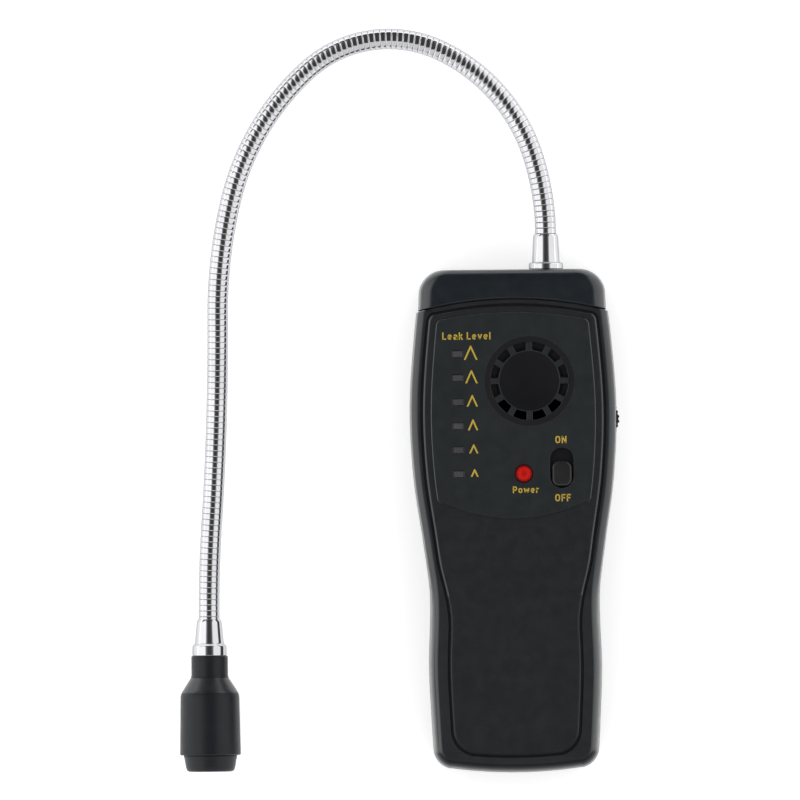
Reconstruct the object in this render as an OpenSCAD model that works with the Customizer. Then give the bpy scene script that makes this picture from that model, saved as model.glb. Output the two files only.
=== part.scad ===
// Handheld refrigerant leak detector, lying on its back.
// X runs across the housing, Y toward the gooseneck end, Z out of the front face.
// The origin is the middle of the flat back face. Sizes are in mm, angles in degrees.

/* [Housing] */
// Length from the bottom end to the top of the cap
body_l = 176; // [172:1:190]
// Greatest width, across the head
head_w = 72.4; // [71:0.2:80]
// Width at the waist of the grip
grip_w = 59.5; // [59:0.5:66]
// Thickness from the back face to the control panel
body_t = 40; // [39.5:0.5:46]
// Wall thickness of the mouldings
wall = 2.2; // [1.8:0.1:2.4]
// Radius of the front edges
edge_r = 2.8; // [2:0.1:3.2]
// Extra depth of the rounding on the front edges along the grip
grip_soft = 3.4; // [0:0.1:4]
// Radius of the back edges
back_r = 6; // [4:0.5:6.5]
// Radius of the bottom corners in plan
corner_r = 7.5; // [5:0.5:8]
// Radius of the cap's top corners in plan
cap_r = 7.5; // [4:0.5:8]
// Radius of the cap's front edges
cap_edge_r = 4.6; // [3:0.1:5]
// Length of the cap on the middle line
cap_l = 10.5; // [9:0.5:12]
// Height of the parting line between the two shells
part_z = 21; // [20.5:0.1:21.5]
// Gap along the seams between the mouldings
seam_gap = 0.3; // [0.2:0.05:0.5]

/* [Front face] */
// Extra width of the rim beside the raised face along the grip
grip_rim = 2.8; // [1:0.1:4]
// Width of the rim at the bottom end
end_rim = 5.7; // [5:0.1:8]
// Width of the rim below the cap
cap_rim = 1.7; // [1.4:0.1:3]
// Step from the rim up to the raised face
face_step = 0.5; // [0.3:0.1:0.8]
// Step from the raised face up to the control panel
panel_step = 0.5; // [0.3:0.1:0.8]
// Width of the groove round the raised face
groove_w = 0.8; // [0.5:0.1:1]
// Depth of that groove
groove_d = 0.6; // [0.3:0.1:0.8]
// Length of the control panel
panel_l = 72.4; // [70:0.2:76]
// Width of the raised face beside the panel
panel_rim = 3.2; // [2:0.1:4]
// Width of the raised face above the panel
panel_top_rim = 2.7; // [2:0.1:4]

/* [Sounder and lamps] */
// Sounder centre, to the right of the middle line
grille_x = 5.7; // [4:0.1:7]
// Sounder centre, below the cap
grille_down = 28.5; // [27.5:0.1:30]
// Outer diameter of the ring of slots
grille_d = 27.4; // [24:0.2:29]
// Length of a slot along the radius
slot_l = 2.9; // [2:0.1:3.5]
// Number of slots
slot_count = 12; // [8:1:14]
// Bridge between two slots
slot_bridge = 2.1; // [1.5:0.1:3]
// Depth of the dish in the middle of the grille
dish_depth = 1; // [0.6:0.1:1.2]
// Depth of the sunk ring that the slots lie in
sink_d = 0.25; // [0.2:0.05:0.5]
// Level lamp window, width
lamp_w = 3.7; // [2.5:0.1:4]
// Level lamp window, height
lamp_h = 2.4; // [1.6:0.1:3]
// Distance from one level lamp to the next
lamp_pitch = 8.4; // [7.6:0.1:8.6]
// Level lamps, to the left of the middle line
lamp_x = 19.3; // [18.5:0.1:20.5]
// First level lamp, below the cap
lamp_down = 18.9; // [18:0.1:20]
// Power lamp diameter
power_d = 6; // [5:0.1:6.5]
// Power lamp, to the right of the middle line
power_x = 3.5; // [2:0.1:5]

/* [Switch and wheel] */
// Switch recess, width
recess_w = 8.3; // [7.6:0.1:9]
// Travel of the switch from OFF to ON
switch_travel = 4; // [3:0.1:5]
// Switch knob, length
knob_l = 8.6; // [8:0.1:10]
// Switch, to the right of the middle line
switch_x = 16.8; // [15.5:0.1:18]
// Switch, below the cap
switch_down = 59; // [58:0.1:60]
// Sliding clearance round the knob
knob_gap = 0.7; // [0.3:0.05:0.8]
// Thumbwheel diameter
wheel_d = 14; // [12:0.2:15]
// How far the wheel stands out of the side
wheel_out = 1; // [0.6:0.1:1.5]
// Thumbwheel, below the cap
wheel_down = 42.1; // [41:0.1:43]
// Thumbwheel thickness
wheel_t = 3.4; // [2.4:0.1:3.6]
// Diameter of the wheel's shaft
shaft_d = 3; // [2:0.1:4]
// Running clearance of the wheel on its shaft, on the radius
shaft_gap = 0.05; // [0.02:0.01:0.1]

/* [Battery bay] */
// Cell diameter, AA size
cell_d = 14.5; // [14:0.1:14.5]
// Cell length with its nub, AA size
cell_l = 50.5; // [49:0.1:50.5]
// Height of the leaf contacts
leaf_h = 5; // [3:0.1:5.5]
// Thickness of the contact strip
strip_t = 0.5; // [0.3:0.1:0.8]
// Thickness of the sliding door
door_t = 2; // [1.6:0.1:2.2]
// How far the door lies in from the back face
door_in = 0.3; // [0.2:0.05:0.5]
// Sliding clearance of the door
door_gap = 0.15; // [0.1:0.05:0.3]

/* [Gooseneck] */
// Outer diameter over the ribs
neck_d = 7.4; // [6.6:0.1:8]
// Depth of the grooves between ribs
rib_depth = 0.45; // [0.2:0.05:0.6]
// Distance from one rib to the next
rib_pitch = 2; // [2:0.1:3]
// Bore diameter for the sensor lead
neck_bore = 4.4; // [3:0.1:4.6]
// Gooseneck, to the right of the middle line
arm_x = 12; // [8:0.5:14]
// Height of the gooseneck above the back face
arm_z = 20.5; // [19:0.5:22]
// Base bend: length
bend_1_l = 28; // [24:1:34]
// Base bend: turn
bend_1_a = 17.4; // [12:0.1:22]
// Shoulder bend: length
bend_2_l = 50.6; // [44:0.2:58]
// Shoulder bend: turn
bend_2_a = 47.2; // [42:0.2:52]
// Crown bend: length
bend_3_l = 50; // [44:0.2:58]
// Crown bend: turn
bend_3_a = 67.5; // [62:0.5:72]
// Outer bend: length
bend_4_l = 53; // [46:0.2:60]
// Outer bend: turn
bend_4_a = 33.9; // [28:0.1:38]
// Upper leg: length
bend_5_l = 41.3; // [36:0.1:48]
// Upper leg: turn
bend_5_a = 13.8; // [9:0.1:18]
// Middle leg: length
bend_6_l = 72.5; // [64:0.5:80]
// Middle leg: turn back
bend_6_a = -4; // [-8:0.1:0]
// Lower leg: length
bend_7_l = 33.5; // [28:0.5:38]
// Lower leg: turn
bend_7_a = 4.2; // [0:0.1:8]
// Gap between two stretches at a flex point
flex_gap = 1.8; // [1.6:0.1:2.4]
// Radius of the ball at a flex point
ball_r = 2.85; // [2.5:0.05:2.9]
// Clearance between ball and socket
ball_gap = 0.3; // [0.2:0.05:0.35]

/* [Ferrules and probe] */
// Length of the base ferrule above the cap
ferrule_l = 12.4; // [11:0.2:15]
// Diameter of the ferrules' flanges
flange_d = 12; // [11:0.2:12.6]
// Diameter of the stem through the cap
stem_d = 8; // [7:0.2:8.4]
// Clearance of the gooseneck in a ferrule, on the radius
neck_fit = 0.06; // [0.04:0.01:0.1]
// Length of the probe ferrule up to the probe
tip_ferrule_l = 12.8; // [12:0.2:16]
// Diameter of the probe's neck
probe_neck_d = 12.8; // [12.6:0.1:14]
// Greatest diameter of the probe
probe_d = 21.3; // [20.5:0.1:24]
// Length of the probe body
probe_l = 34.8; // [33:0.2:40]
// Diameter of the nose
nose_d = 18.9; // [18:0.1:20]
// Length of the nose in front of the body
nose_l = 5.8; // [4.5:0.1:8]
// Diameter of the gas sensor
sensor_d = 12; // [10:0.2:12.4]

/* [Hidden] */
$fn = 48;
end_n = 3;
arc_n = 4;
side_n = 16;
edge_n = 4;
neck_n = 12;
lap = 1;
draft = 0.5;
face_r = 1;
panel_r = 0.5;
inner_r = 2;
rim_fall = 0.3;

// Half width along the housing: share of its length, share of the way from waist to head
side_shape = [
  [-0.5, -0.19], [-0.4, -0.03], [-0.29, 0.085], [-0.148, 0], [-0.045, 0.33],
  [0.091, 0.845], [0.227, 1], [0.375, 0.72], [0.5, 0.287]
];
y_bot = -body_l / 2;
y_top = body_l / 2;
y_seam = y_top - cap_l;
bulge_bot = 0.0031;
bulge_seam = 0.0039;
bulge_panel = 0.0091;

// Heights of the front levels and corner radii of the outlines there
cap_step = 0.3;
rim_z = body_t - face_step - panel_step;
face_z = body_t - panel_step;
roof_z = rim_z - wall;
cap_z = rim_z + cap_step;
rim_head = draft + edge_r + groove_w;
face_bot_r = 9;
face_top_r = 3.5;
panel_bot_r = 3;
panel_top_r = 2.5;
panel_y1 = y_seam - cap_rim - panel_top_rim;
panel_y0 = panel_y1 - panel_l;

// Lip of each shell under the cap
lip_w = 44;
lip_in = 3;
lip_out = 4;
lip_t = 1.85;
lip_gap = 0.15;

// Sounder, lamps and switch
grille_y = y_seam - grille_down;
dish_edge = 0.4;
sink_room = 0.2;
sink_r = grille_d / 2 + sink_room;
sink_slope = 7;
lamp_n = 6;
lamp_y = y_seam - lamp_down;
lamp_fit = 0.1;
lamp_sink = 0.2;
lamp_collar = 0.6;
lamp_collar_gap = 0.4;
power_y = lamp_y - (lamp_n - 1) * lamp_pitch;
power_base = 0.6;
switch_y = y_seam - switch_down;
recess_l = knob_l + switch_travel + 2 * knob_gap;
recess_floor = 0.9;
recess_z = roof_z + recess_floor;
knob_w = recess_w - 2 * knob_gap;
knob_corner_gap = 0.4 * knob_gap;
knob_r = (sqrt(2) * knob_w / 2 - recess_w / 2 + knob_corner_gap) / (sqrt(2) - 1);
knob_lift = 0.2;
knob_out = 0.5;
knob_edge = 0.8;
stem_w = 2.4;
stem_gap = 0.3;
stem_in = 1.5;
stem_back = max(stem_w / 2 + 2 * stem_gap + switch_travel - knob_l / 2, 0);

// Board and what stands on it
board_t = 1.6;
board_drop = 7;
board_z = roof_z - board_drop;
board_w = 47;
board_l = 77;
board_y1 = y_seam - 6.5;
board_y0 = board_y1 - board_l;
board_tab = 3;
peg_r = 2;
peg_in = 2.8;
peg_spots = [[board_w / 2 - peg_in, board_y1 - peg_in], [board_w / 2 - peg_in, board_y0 + peg_in]];
switch_w = 9;
switch_l = 15;
switch_h = 5.6;
speaker_h = 4.8;
speaker_rim = 2;
basket_in = 3;
speaker_gap = 0.1;
cone_sink = 0.9;
magnet_r = 6;

// Thumbwheel and the pot that it turns
wheel_y = y_seam - wheel_down;
wheel_x = half_w(wheel_y) + wheel_out - wheel_d / 2;
wheel_lift = 2.2;
wheel_z = part_z + wheel_lift;
wheel_gap = 0.4;
flute_n = 24;
flute_r = 0.75;
flute_out = 0.35;
pot_d = 9;
pot_gap = 0.4;
pot_flat = wheel_d / 2 - wheel_out - wall - draft - pot_gap;
pot_h = board_z - board_t - wheel_z - wheel_t;
pot_foot = 1;
pot_foot_w = 0.8;
spin_gap = 0.1;

// Case screws and their bosses
boss_r = 3.2;
boss_in = 6.5;
screw_r = 1.25;
screw_bite = 0.05;
screw_gap = 0.2;
screw_head_r = 2.7;
screw_head_h = 2;
screw_seat = 3.5;
screw_grip = 10;
drive_l = 3.2;
drive_w = 0.6;
drive_d = 1;
screw_y = [y_seam - 15.5, y_bot + 74];
screw_spots = [for (y = screw_y) [half_w(y) - boss_in, y]];

// Battery bay, its contacts and its door
cell_n = 3;
cell_gap = 0.2;
cell_nub_l = 1.2;
cell_nub_d = 5.4;
cell_lift = 0.3;
cell_pitch = cell_d + cell_gap;
bay_w = cell_n * cell_pitch + 2 * cell_gap;
bay_l = cell_l + leaf_h + strip_t;
bay_y0 = y_bot + 7;
bay_y1 = bay_y0 + bay_l;
bay_z0 = door_in + door_t;
cell_z = bay_z0 + cell_lift + cell_d / 2;
bay_z1 = cell_z + cell_d / 2 + cell_lift;
bay_wall = 1.4;
strip_w = 8;
strip_h = 10;
leaf_top = 4.6;
leaf_t = 1.2;
leaf_tip = 1;
door_w = bay_w;
door_y1 = bay_y1 + 2;
tongue_w = 1.4;
tongue_t = 0.9;
rail_wall = 2;
rail_t = 2.4;
thumb_n = 6;
thumb_w = 18;
thumb_pitch = 2.4;
thumb_in = 6;
thumb_d = 0.5;

neck_r = neck_d / 2;
arm_y = y_top + ferrule_l;
bends = [
  [bend_1_l, bend_1_a], [bend_2_l, bend_2_a], [bend_3_l, bend_3_a], [bend_4_l, bend_4_a],
  [bend_5_l, bend_5_a], [bend_6_l, bend_6_a], [bend_7_l, bend_7_a]
];
arm_l = bend_1_l + bend_2_l + bend_3_l + bend_4_l + bend_5_l + bend_6_l + bend_7_l;
flex = [9, bend_1_l + 0.65 * bend_2_l, arm_l / 2, 0.76 * arm_l];
socket_l = 8;
socket_gap = 0.1;
blind_l = 5;
bore_step = 10;
lead_r = 1.8;
lead_hole_r = 3;
lead_hole_l = 12;
arm_end = arm_at(arm_l);

// Ferrules: stem below the cap, nut, flange and the taper up to the gooseneck
stem_l = 8;
stem_fit = 0.1;
nut_r = 6.9;
nut_t = 3.2;
nut_fit = 0.03;
flange_t = 2;
flange_bevel = 0.4;
taper_foot = 1.05;
taper_top = 0.6;
lip_bevel = 0.4;
tip_foot = 1.33;
tip_flange_t = 3.4;
tip_neck_l = 4.2;
thread_r = 4.6;
thread_l = 5;
thread_fit = 0.05;

// Probe: neck, cone, barrel, nose and the sensor inside
probe_wall = 2.2;
probe_bevel = 0.3;
probe_bore_r = probe_d / 2 - probe_wall;
neck_l = 7.4;
cone_l = 5.2;
shoulder_l = 1.4;
shoulder_in = 0.9;
barrel_in = 0.35;
bore_floor = 8;
nose_a = tip_ferrule_l + probe_l;
nose_fit = 0.1;
nose_plug_l = 9;
nose_foot_l = 1.6;
nose_taper = 0.4;
nose_lip = 1;
nose_lip_t = 1.2;
sensor_l = 12;
mesh_t = 0.5;
mesh_gap = 0.1;
mesh_hole_r = 0.5;
mesh_pitch = 1.7;

// Smooth curve through the side_shape points
function side_slope(i) =
  let (a = side_shape[max(i - 1, 0)], b = side_shape[min(i + 1, len(side_shape) - 1)])
  (b[1] - a[1]) / (b[0] - a[0]);
function side_span(t, i = 0) =
  i == len(side_shape) - 2 || t < side_shape[i + 1][0] ? i : side_span(t, i + 1);
function side_share(t) =
  let (
    i = side_span(t),
    a = side_shape[i],
    b = side_shape[i + 1],
    h = b[0] - a[0],
    u = (t - a[0]) / h
  )
  a[1] * (1 + 2 * u) * pow(1 - u, 2) + b[1] * u * u * (3 - 2 * u)
  + h * side_slope(i) * u * pow(1 - u, 2) - h * side_slope(i + 1) * u * u * (1 - u);

// Half width of the housing at y
function half_w(y) = grip_w / 2 + (head_w - grip_w) / 2 * side_share(y / body_l);

// 0 along the head, 1 along the grip
function grip_share(y) =
  let (u = min(max((-0.075 - y / body_l) / 0.14, 0), 1))
  u * u * (3 - 2 * u);
function side_x(y, e, g) = half_w(y) - e - g * grip_share(y);

// Right half of a plan outline whose sides are set in by e, and by g more along the grip.
// Its ends bulge: the lower end is y0 + k0 x x with corners r0, the upper y1 - k1 x x with corners r1.
function half_plan(e, g, y0, k0, r0, y1, k1, r1) =
  let (
    x0 = side_x(y0 + r0, e, g) - r0,
    t0 = atan(2 * k0 * x0),
    y0c = y0 + k0 * x0 * x0 + r0 * cos(t0),
    x0c = side_x(y0c, e, g) - r0,
    x1 = side_x(y1 - r1, e, g) - r1,
    t1 = atan(2 * k1 * x1),
    y1c = y1 - k1 * x1 * x1 - r1 * cos(t1),
    x1c = side_x(y1c, e, g) - r1,
    x0e = x0c + r0 * sin(t0),
    x1e = x1c + r1 * sin(t1)
  )
  concat(
    [for (i = [0 : end_n - 1]) let (x = x0e * i / end_n) [x, y0 + k0 * x * x]],
    [for (i = [0 : arc_n])
      let (a = (t0 - 90) * (1 - i / arc_n)) [x0c + r0 * cos(a), y0c + r0 * sin(a)]],
    [for (i = [1 : side_n - 1]) let (y = y0c + (y1c - y0c) * i / side_n) [side_x(y, e, g), y]],
    [for (i = [0 : arc_n]) let (a = (90 - t1) * i / arc_n) [x1c + r1 * cos(a), y1c + r1 * sin(a)]],
    [for (i = [end_n - 1 : -1 : 0]) let (x = x1e * i / end_n) [x, y1 - k1 * x * x]]
  );
function plan(e, g, y0, k0, r0, y1, k1, r1) =
  let (h = half_plan(e, g, y0, k0, r0, y1, k1, r1))
  concat(h, [for (i = [len(h) - 2 : -1 : 1]) [-h[i][0], h[i][1]]]);

// Outlines of the shells, of the raised face and of the control panel, each set in by e
function shell_plan(e, end = 0) =
  plan(e, 0, y_bot + e, bulge_bot, max(corner_r - e, 0.8), y_seam - end, bulge_seam, 0.5);
function face_plan(e) =
  plan(
    rim_head + e, grip_rim,
    y_bot + end_rim + e, bulge_bot, face_bot_r - e,
    y_seam - cap_rim - e, bulge_seam, face_top_r - e
  );
function panel_plan(e) =
  plan(
    rim_head + panel_rim + e, 0,
    panel_y0 + e, bulge_panel, panel_bot_r - e,
    panel_y1 - e, bulge_seam, panel_top_r - e
  );
function raise(ring, z) = [for (p = ring) [p[0], p[1], z]];

// Ring of the front edge at angle a: its rounding is deeper along the grip, where the rim falls a little
function edge_ring(a) = [
  for (p = shell_plan(draft + edge_r * (1 - cos(a))))
    let (g = grip_share(p[1]))
    [p[0], p[1], rim_z - rim_fall * g - (edge_r + grip_soft * g) * (1 - sin(a))]
];
function quarter(n) = [for (i = [0 : n]) 90 * i / n];

// Skin through a row of rings with equal counts of points, closed flat at both ends
module loft(rings) {
  n = len(rings[0]);
  m = len(rings);
  polyhedron(
    points = [for (r = rings) for (p = r) p],
    faces = concat(
      [[for (i = [0 : n - 1]) i]],
      [for (j = [0 : m - 2]) for (i = [0 : n - 1])
        let (k = (i + 1) % n) [j * n + i, (j + 1) * n + i, (j + 1) * n + k, j * n + k]],
      [[for (i = [n - 1 : -1 : 0]) (m - 1) * n + i]]
    ),
    convexity = 8
  );
}

// Box from corner a to corner b
module block(a, b) {
  translate(a) cube(b - a);
}

// Long hole shape with round ends along Y
module slot_2d(w, l) {
  square([w, l - w], center = true);
  for (s = [-1, 1]) translate([0, s * (l - w) / 2]) circle(w / 2);
}

// Both sides of the housing
module pair() {
  for (s = [0, 1]) mirror([s, 0, 0]) children();
}

module front_shell() {
  color("#26282a") difference() {
    union() {
      loft(concat(
        [for (a = [90, 45, 0])
          raise(shell_plan(wall + draft + inner_r * (1 - cos(a)), wall), roof_z - inner_r * (1 - sin(a)))],
        [raise(shell_plan(wall, wall), part_z + seam_gap), raise(shell_plan(0), part_z + seam_gap)],
        [for (a = quarter(edge_n)) edge_ring(a)],
        [raise(face_plan(-groove_w / 2), rim_z), raise(face_plan(0), rim_z - groove_d)],
        [for (a = quarter(3))
          raise(face_plan(groove_w / 2 + face_r * (1 - cos(a))), face_z - face_r * (1 - sin(a)))]
      ));
      loft(concat(
        [raise(panel_plan(0), face_z - lap)],
        [for (a = quarter(2)) raise(panel_plan(panel_r * (1 - cos(a))), body_t - panel_r * (1 - sin(a)))]
      ));
      for (p = screw_spots) pair() translate([p[0], p[1], part_z + seam_gap])
        cylinder(r = boss_r, h = roof_z + lap - part_z - seam_gap);
      for (p = peg_spots) pair() translate([p[0], p[1], board_z])
        cylinder(r = peg_r, h = roof_z + lap - board_z);
      cap_lip(cap_z - wall - lip_gap - lip_t);
    }
    for (p = screw_spots) pair() translate([p[0], p[1], part_z])
      cylinder(r = screw_r + screw_bite, h = screw_grip + lap);
    translate([grille_x, grille_y, 0]) {
      for (i = [0 : slot_count - 1]) rotate([0, 0, i * 360 / slot_count + bridge_turn()])
        rotate_extrude(angle = 360 / slot_count - 2 * bridge_turn())
          translate([grille_d / 2 - slot_l, roof_z - lap]) square([slot_l, body_t - roof_z + 2 * lap]);
      translate([0, 0, body_t - sink_d]) {
        cylinder(r1 = sink_r, r2 = sink_r + 2 * sink_d * sink_slope, h = 2 * sink_d, $fn = 96);
        translate([0, 0, dish_r() - dish_depth]) sphere(dish_r(), $fn = 96);
      }
    }
    for (i = [0 : lamp_n - 1]) translate([-lamp_x, lamp_y - i * lamp_pitch, roof_z - lap])
      translate([-lamp_w / 2, -lamp_h / 2, 0]) cube([lamp_w, lamp_h, body_t]);
    translate([power_x, power_y, roof_z - lap]) cylinder(d = power_d + 2 * lamp_fit, h = body_t);
    translate([switch_x, switch_y, recess_z]) linear_extrude(body_t) slot_2d(recess_w, recess_l);
    translate([switch_x, switch_y - stem_back, roof_z - lap])
      linear_extrude(body_t)
        square([stem_w + 2 * stem_gap, stem_w + switch_travel + 2 * stem_gap], center = true);
    translate([wheel_x, wheel_y, wheel_z - wheel_gap])
      cylinder(d = wheel_d + 2 * wheel_gap, h = wheel_t + 2 * wheel_gap);
    lead_hole();
  }
}

// Half the bridge between two slots as an angle, and the radius of the dish
function bridge_turn() = slot_bridge / (grille_d - slot_l) * 180 / PI;
function dish_r() = (pow(grille_d / 2 - slot_l - dish_edge, 2) + pow(dish_depth, 2)) / (2 * dish_depth);

// Way of the sensor lead through the end walls of both shells
module lead_hole() {
  translate([arm_x, y_seam - lead_hole_l / 2, arm_z]) rotate([-90, 0, 0])
    cylinder(r = lead_hole_r, h = lead_hole_l);
}

// Lip of a shell that the cap slides over, with its lower face at z
module cap_lip(z) {
  block([-lip_w / 2, y_seam - lip_in, z], [lip_w / 2, y_seam + lip_out, z + lip_t]);
}

// Outside of the back, from its flat face up to height z
function back_skin(z) = concat(
  [for (a = quarter(edge_n)) raise(shell_plan(back_r * (1 - sin(a))), back_r * (1 - cos(a)))],
  [raise(shell_plan(0), z)]
);

module back_shell() {
  rail_w = door_w / 2 + tongue_w + rail_wall;
  slide_w = door_w / 2 + door_gap;
  inner = max(back_r - wall, 1);
  color("#232527") difference() {
    union() {
      loft(concat(
        back_skin(part_z),
        [raise(shell_plan(wall, wall), part_z)],
        [for (a = [90, 45, 0])
          raise(shell_plan(wall + inner * (1 - sin(a)), wall), wall + inner * (1 - cos(a)))]
      ));
      block([-rail_w, bay_y0 - bay_wall, wall / 2], [rail_w, door_y1 + rail_wall, bay_z0 + rail_t]);
      block([-bay_w / 2 - bay_wall, bay_y0 - bay_wall, wall / 2],
        [bay_w / 2 + bay_wall, bay_y1 + bay_wall, bay_z1 + bay_wall]);
      for (p = screw_spots) pair() translate([p[0], p[1], wall / 2])
        cylinder(r = boss_r, h = part_z - wall / 2);
      cap_lip(wall + lip_gap);
    }
    block([-bay_w / 2, bay_y0, -lap], [bay_w / 2, bay_y1, bay_z1]);
    block([-slide_w, y_bot - lap, -lap], [slide_w, door_y1 + door_gap, bay_z0 + door_gap]);
    block([-slide_w - tongue_w, y_bot - lap, bay_z0 - tongue_t - door_gap],
      [slide_w + tongue_w, door_y1 + door_gap, bay_z0 + door_gap]);
    for (p = screw_spots) pair() translate([p[0], p[1], -lap]) {
      cylinder(r = screw_head_r + screw_gap, h = screw_seat + lap);
      cylinder(r = screw_r + screw_gap, h = part_z + 2 * lap);
    }
    lead_hole();
  }
}

// Section of the cap: height and inset from the front edge round the side to the back edge
cap_side = concat(
  [for (a = quarter(edge_n)) [cap_z - cap_edge_r * (1 - cos(a)), draft + cap_edge_r * (1 - sin(a))]],
  [[part_z, 0]],
  [for (a = quarter(edge_n)) [back_r * (1 - sin(a)), back_r * (1 - cos(a))]]
);
cap_n = 8;
crown_front = 0.3;
crown_back = 0.1;
cap_top_r = 3.5;
function crown(i) = sin(180 * i / cap_n);

// One ring of the cap at y, set in by ex across and ez through; at the seam its edge follows the arch
function cap_ring(y, ex, ez, arch = 0) =
  let (
    side = [for (p = cap_side)
      [half_w(y) - p[1] - ex, cap_z / 2 + (p[0] - cap_z / 2) * (1 - ez / (cap_z / 2))]],
    last = side[len(side) - 1],
    first = side[0],
    flat = concat(
      side,
      [for (i = [1 : cap_n - 1]) [last[0] * (1 - 2 * i / cap_n), last[1] + crown_back * crown(i)]],
      [for (i = [len(side) - 1 : -1 : 0]) [-side[i][0], side[i][1]]],
      [for (i = [1 : cap_n - 1]) [-first[0] * (1 - 2 * i / cap_n), first[1] + crown_front * crown(i)]]
    )
  )
  [for (p = flat) [p[0], y - arch * bulge_seam * p[0] * p[0], p[1]]];
function ease_in(r, h) = h < r ? r - sqrt(r * r - (r - h) * (r - h)) : 0;

module top_cap() {
  in_top = y_top - wall;
  color("#232527") difference() {
    loft(concat(
      [for (h = [0, 0.35, 1]) let (r = cap_r - wall)
        cap_ring(in_top - h * r, wall + ease_in(r, h * r), wall)],
      [cap_ring(y_seam + seam_gap, wall, wall, 1), cap_ring(y_seam + seam_gap, 0, 0, 1)],
      [for (h = [1, 0.62, 0.33, 0.15, 0.05, 0])
        cap_ring(y_top - h * cap_r, ease_in(cap_r, h * cap_r), ease_in(cap_top_r, h * cap_r))]
    ));
    translate([arm_x, in_top - lap, arm_z]) rotate([-90, 0, 0])
      cylinder(d = stem_d + 2 * stem_fit, h = wall + 2 * lap);
  }
}

module battery_door() {
  color("#202224") difference() {
    intersection() {
      loft(back_skin(back_r + lap));
      union() {
        block([-door_w / 2, y_bot - lap, door_in], [door_w / 2, door_y1, bay_z0]);
        block([-door_w / 2 - tongue_w, y_bot - lap, bay_z0 - tongue_t],
          [door_w / 2 + tongue_w, door_y1, bay_z0]);
      }
    }
    for (i = [0 : thumb_n - 1]) translate([-thumb_w / 2, bay_y0 + thumb_in + thumb_pitch * i, door_in - lap])
      cube([thumb_w, thumb_pitch / 2, lap + thumb_d]);
  }
}

module case_screws() {
  color("#8f9194") for (p = screw_spots) pair() translate([p[0], p[1], 0]) difference() {
    union() {
      translate([0, 0, screw_seat - screw_head_h]) cylinder(r = screw_head_r, h = screw_head_h);
      translate([0, 0, screw_seat]) cylinder(r = screw_r, h = part_z + screw_grip - screw_seat);
    }
    for (a = [0, 90]) rotate([0, 0, a])
      translate([-drive_l / 2, -drive_w / 2, screw_seat - screw_head_h - lap])
        cube([drive_l, drive_w, lap + drive_d]);
  }
}

module main_board() {
  color("#1f5c38") translate([0, 0, board_z - board_t]) linear_extrude(board_t) union() {
    translate([-board_w / 2, board_y0]) square([board_w, board_y1 - board_y0]);
    translate([0, wheel_y - pot_d / 2]) square([wheel_x + board_tab, pot_d]);
  }
}

module speaker() {
  r = grille_d / 2;
  color("#3a3c3e") translate([grille_x, grille_y, roof_z]) rotate_extrude() polygon([
    [0, -cone_sink], [r - speaker_rim, -cone_sink], [r - speaker_rim, -speaker_gap], [r, -speaker_gap],
    [r, -2 * cone_sink], [r - basket_in, -speaker_h], [magnet_r, -speaker_h],
    [magnet_r, -board_drop], [0, -board_drop]
  ]);
}

// Level lamp i, counted from the gooseneck end
module sense_led(i) {
  tip_w = lamp_w - 2 * lamp_fit;
  tip_h = lamp_h - 2 * lamp_fit;
  color("#4a4b4d") translate([-lamp_x, lamp_y - (i - 1) * lamp_pitch, 0]) {
    block([-tip_w / 2, -tip_h / 2, board_z], [tip_w / 2, tip_h / 2, body_t - lamp_sink]);
    block([-tip_w / 2 - lamp_collar, -tip_h / 2 - lamp_collar, board_z],
      [tip_w / 2 + lamp_collar, tip_h / 2 + lamp_collar, roof_z - lamp_collar_gap]);
  }
}

module power_led() {
  r = power_d / 2;
  color("#c81410") translate([power_x, power_y, 0]) rotate_extrude() union() {
    translate([0, board_z]) square([r, body_t - power_base - board_z]);
    translate([0, board_z]) square([r + lamp_collar, roof_z - lamp_collar_gap - board_z]);
    translate([0, body_t - power_base]) intersection() {
      circle(r);
      square(r);
    }
  }
}

module switch_body() {
  slot_w = stem_w + 2 * stem_gap;
  color("#6f7275") translate([switch_x, switch_y, board_z]) difference() {
    block([-switch_w / 2, -switch_l / 2, 0], [switch_w / 2, switch_l / 2, switch_h]);
    translate([0, -stem_back, 0])
      block([-slot_w / 2, -(slot_w + switch_travel) / 2, switch_h - stem_in - stem_gap],
        [slot_w / 2, (slot_w + switch_travel) / 2, switch_h + lap]);
  }
}

// Corner post of the knob with a rounded top edge
module knob_corner() {
  h = body_t + knob_out - recess_z - knob_lift;
  rotate_extrude($fn = 24) union() {
    square([knob_r, h - knob_edge]);
    square([knob_r - knob_edge, h]);
    translate([knob_r - knob_edge, h - knob_edge]) circle(knob_edge, $fn = 16);
  }
}

// The knob stands at OFF, the end away from the gooseneck
module switch_knob() {
  color("#1c1d1f") translate([switch_x, switch_y - switch_travel / 2, 0]) {
    hull() for (x = [-1, 1], y = [-1, 1])
      translate([x * (knob_w / 2 - knob_r), y * (knob_l / 2 - knob_r), recess_z + knob_lift]) knob_corner();
    translate([0, -stem_back, 0])
      block([-stem_w / 2, -stem_w / 2, board_z + switch_h - stem_in],
        [stem_w / 2, stem_w / 2, recess_z + lap]);
  }
}

module pot_base() {
  color("#35507a") translate([wheel_x, wheel_y, wheel_z]) {
    translate([0, 0, wheel_t + spin_gap]) difference() {
      cylinder(d = pot_d, h = pot_h - spin_gap);
      block([pot_flat, -pot_d, -lap], [pot_d, pot_d, pot_h + lap]);
    }
    translate([0, 0, -pot_foot / 2]) cylinder(d = shaft_d, h = wheel_t + pot_h);
    translate([0, 0, -pot_foot - spin_gap]) cylinder(d = shaft_d + 2 * pot_foot_w, h = pot_foot);
  }
}

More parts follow.
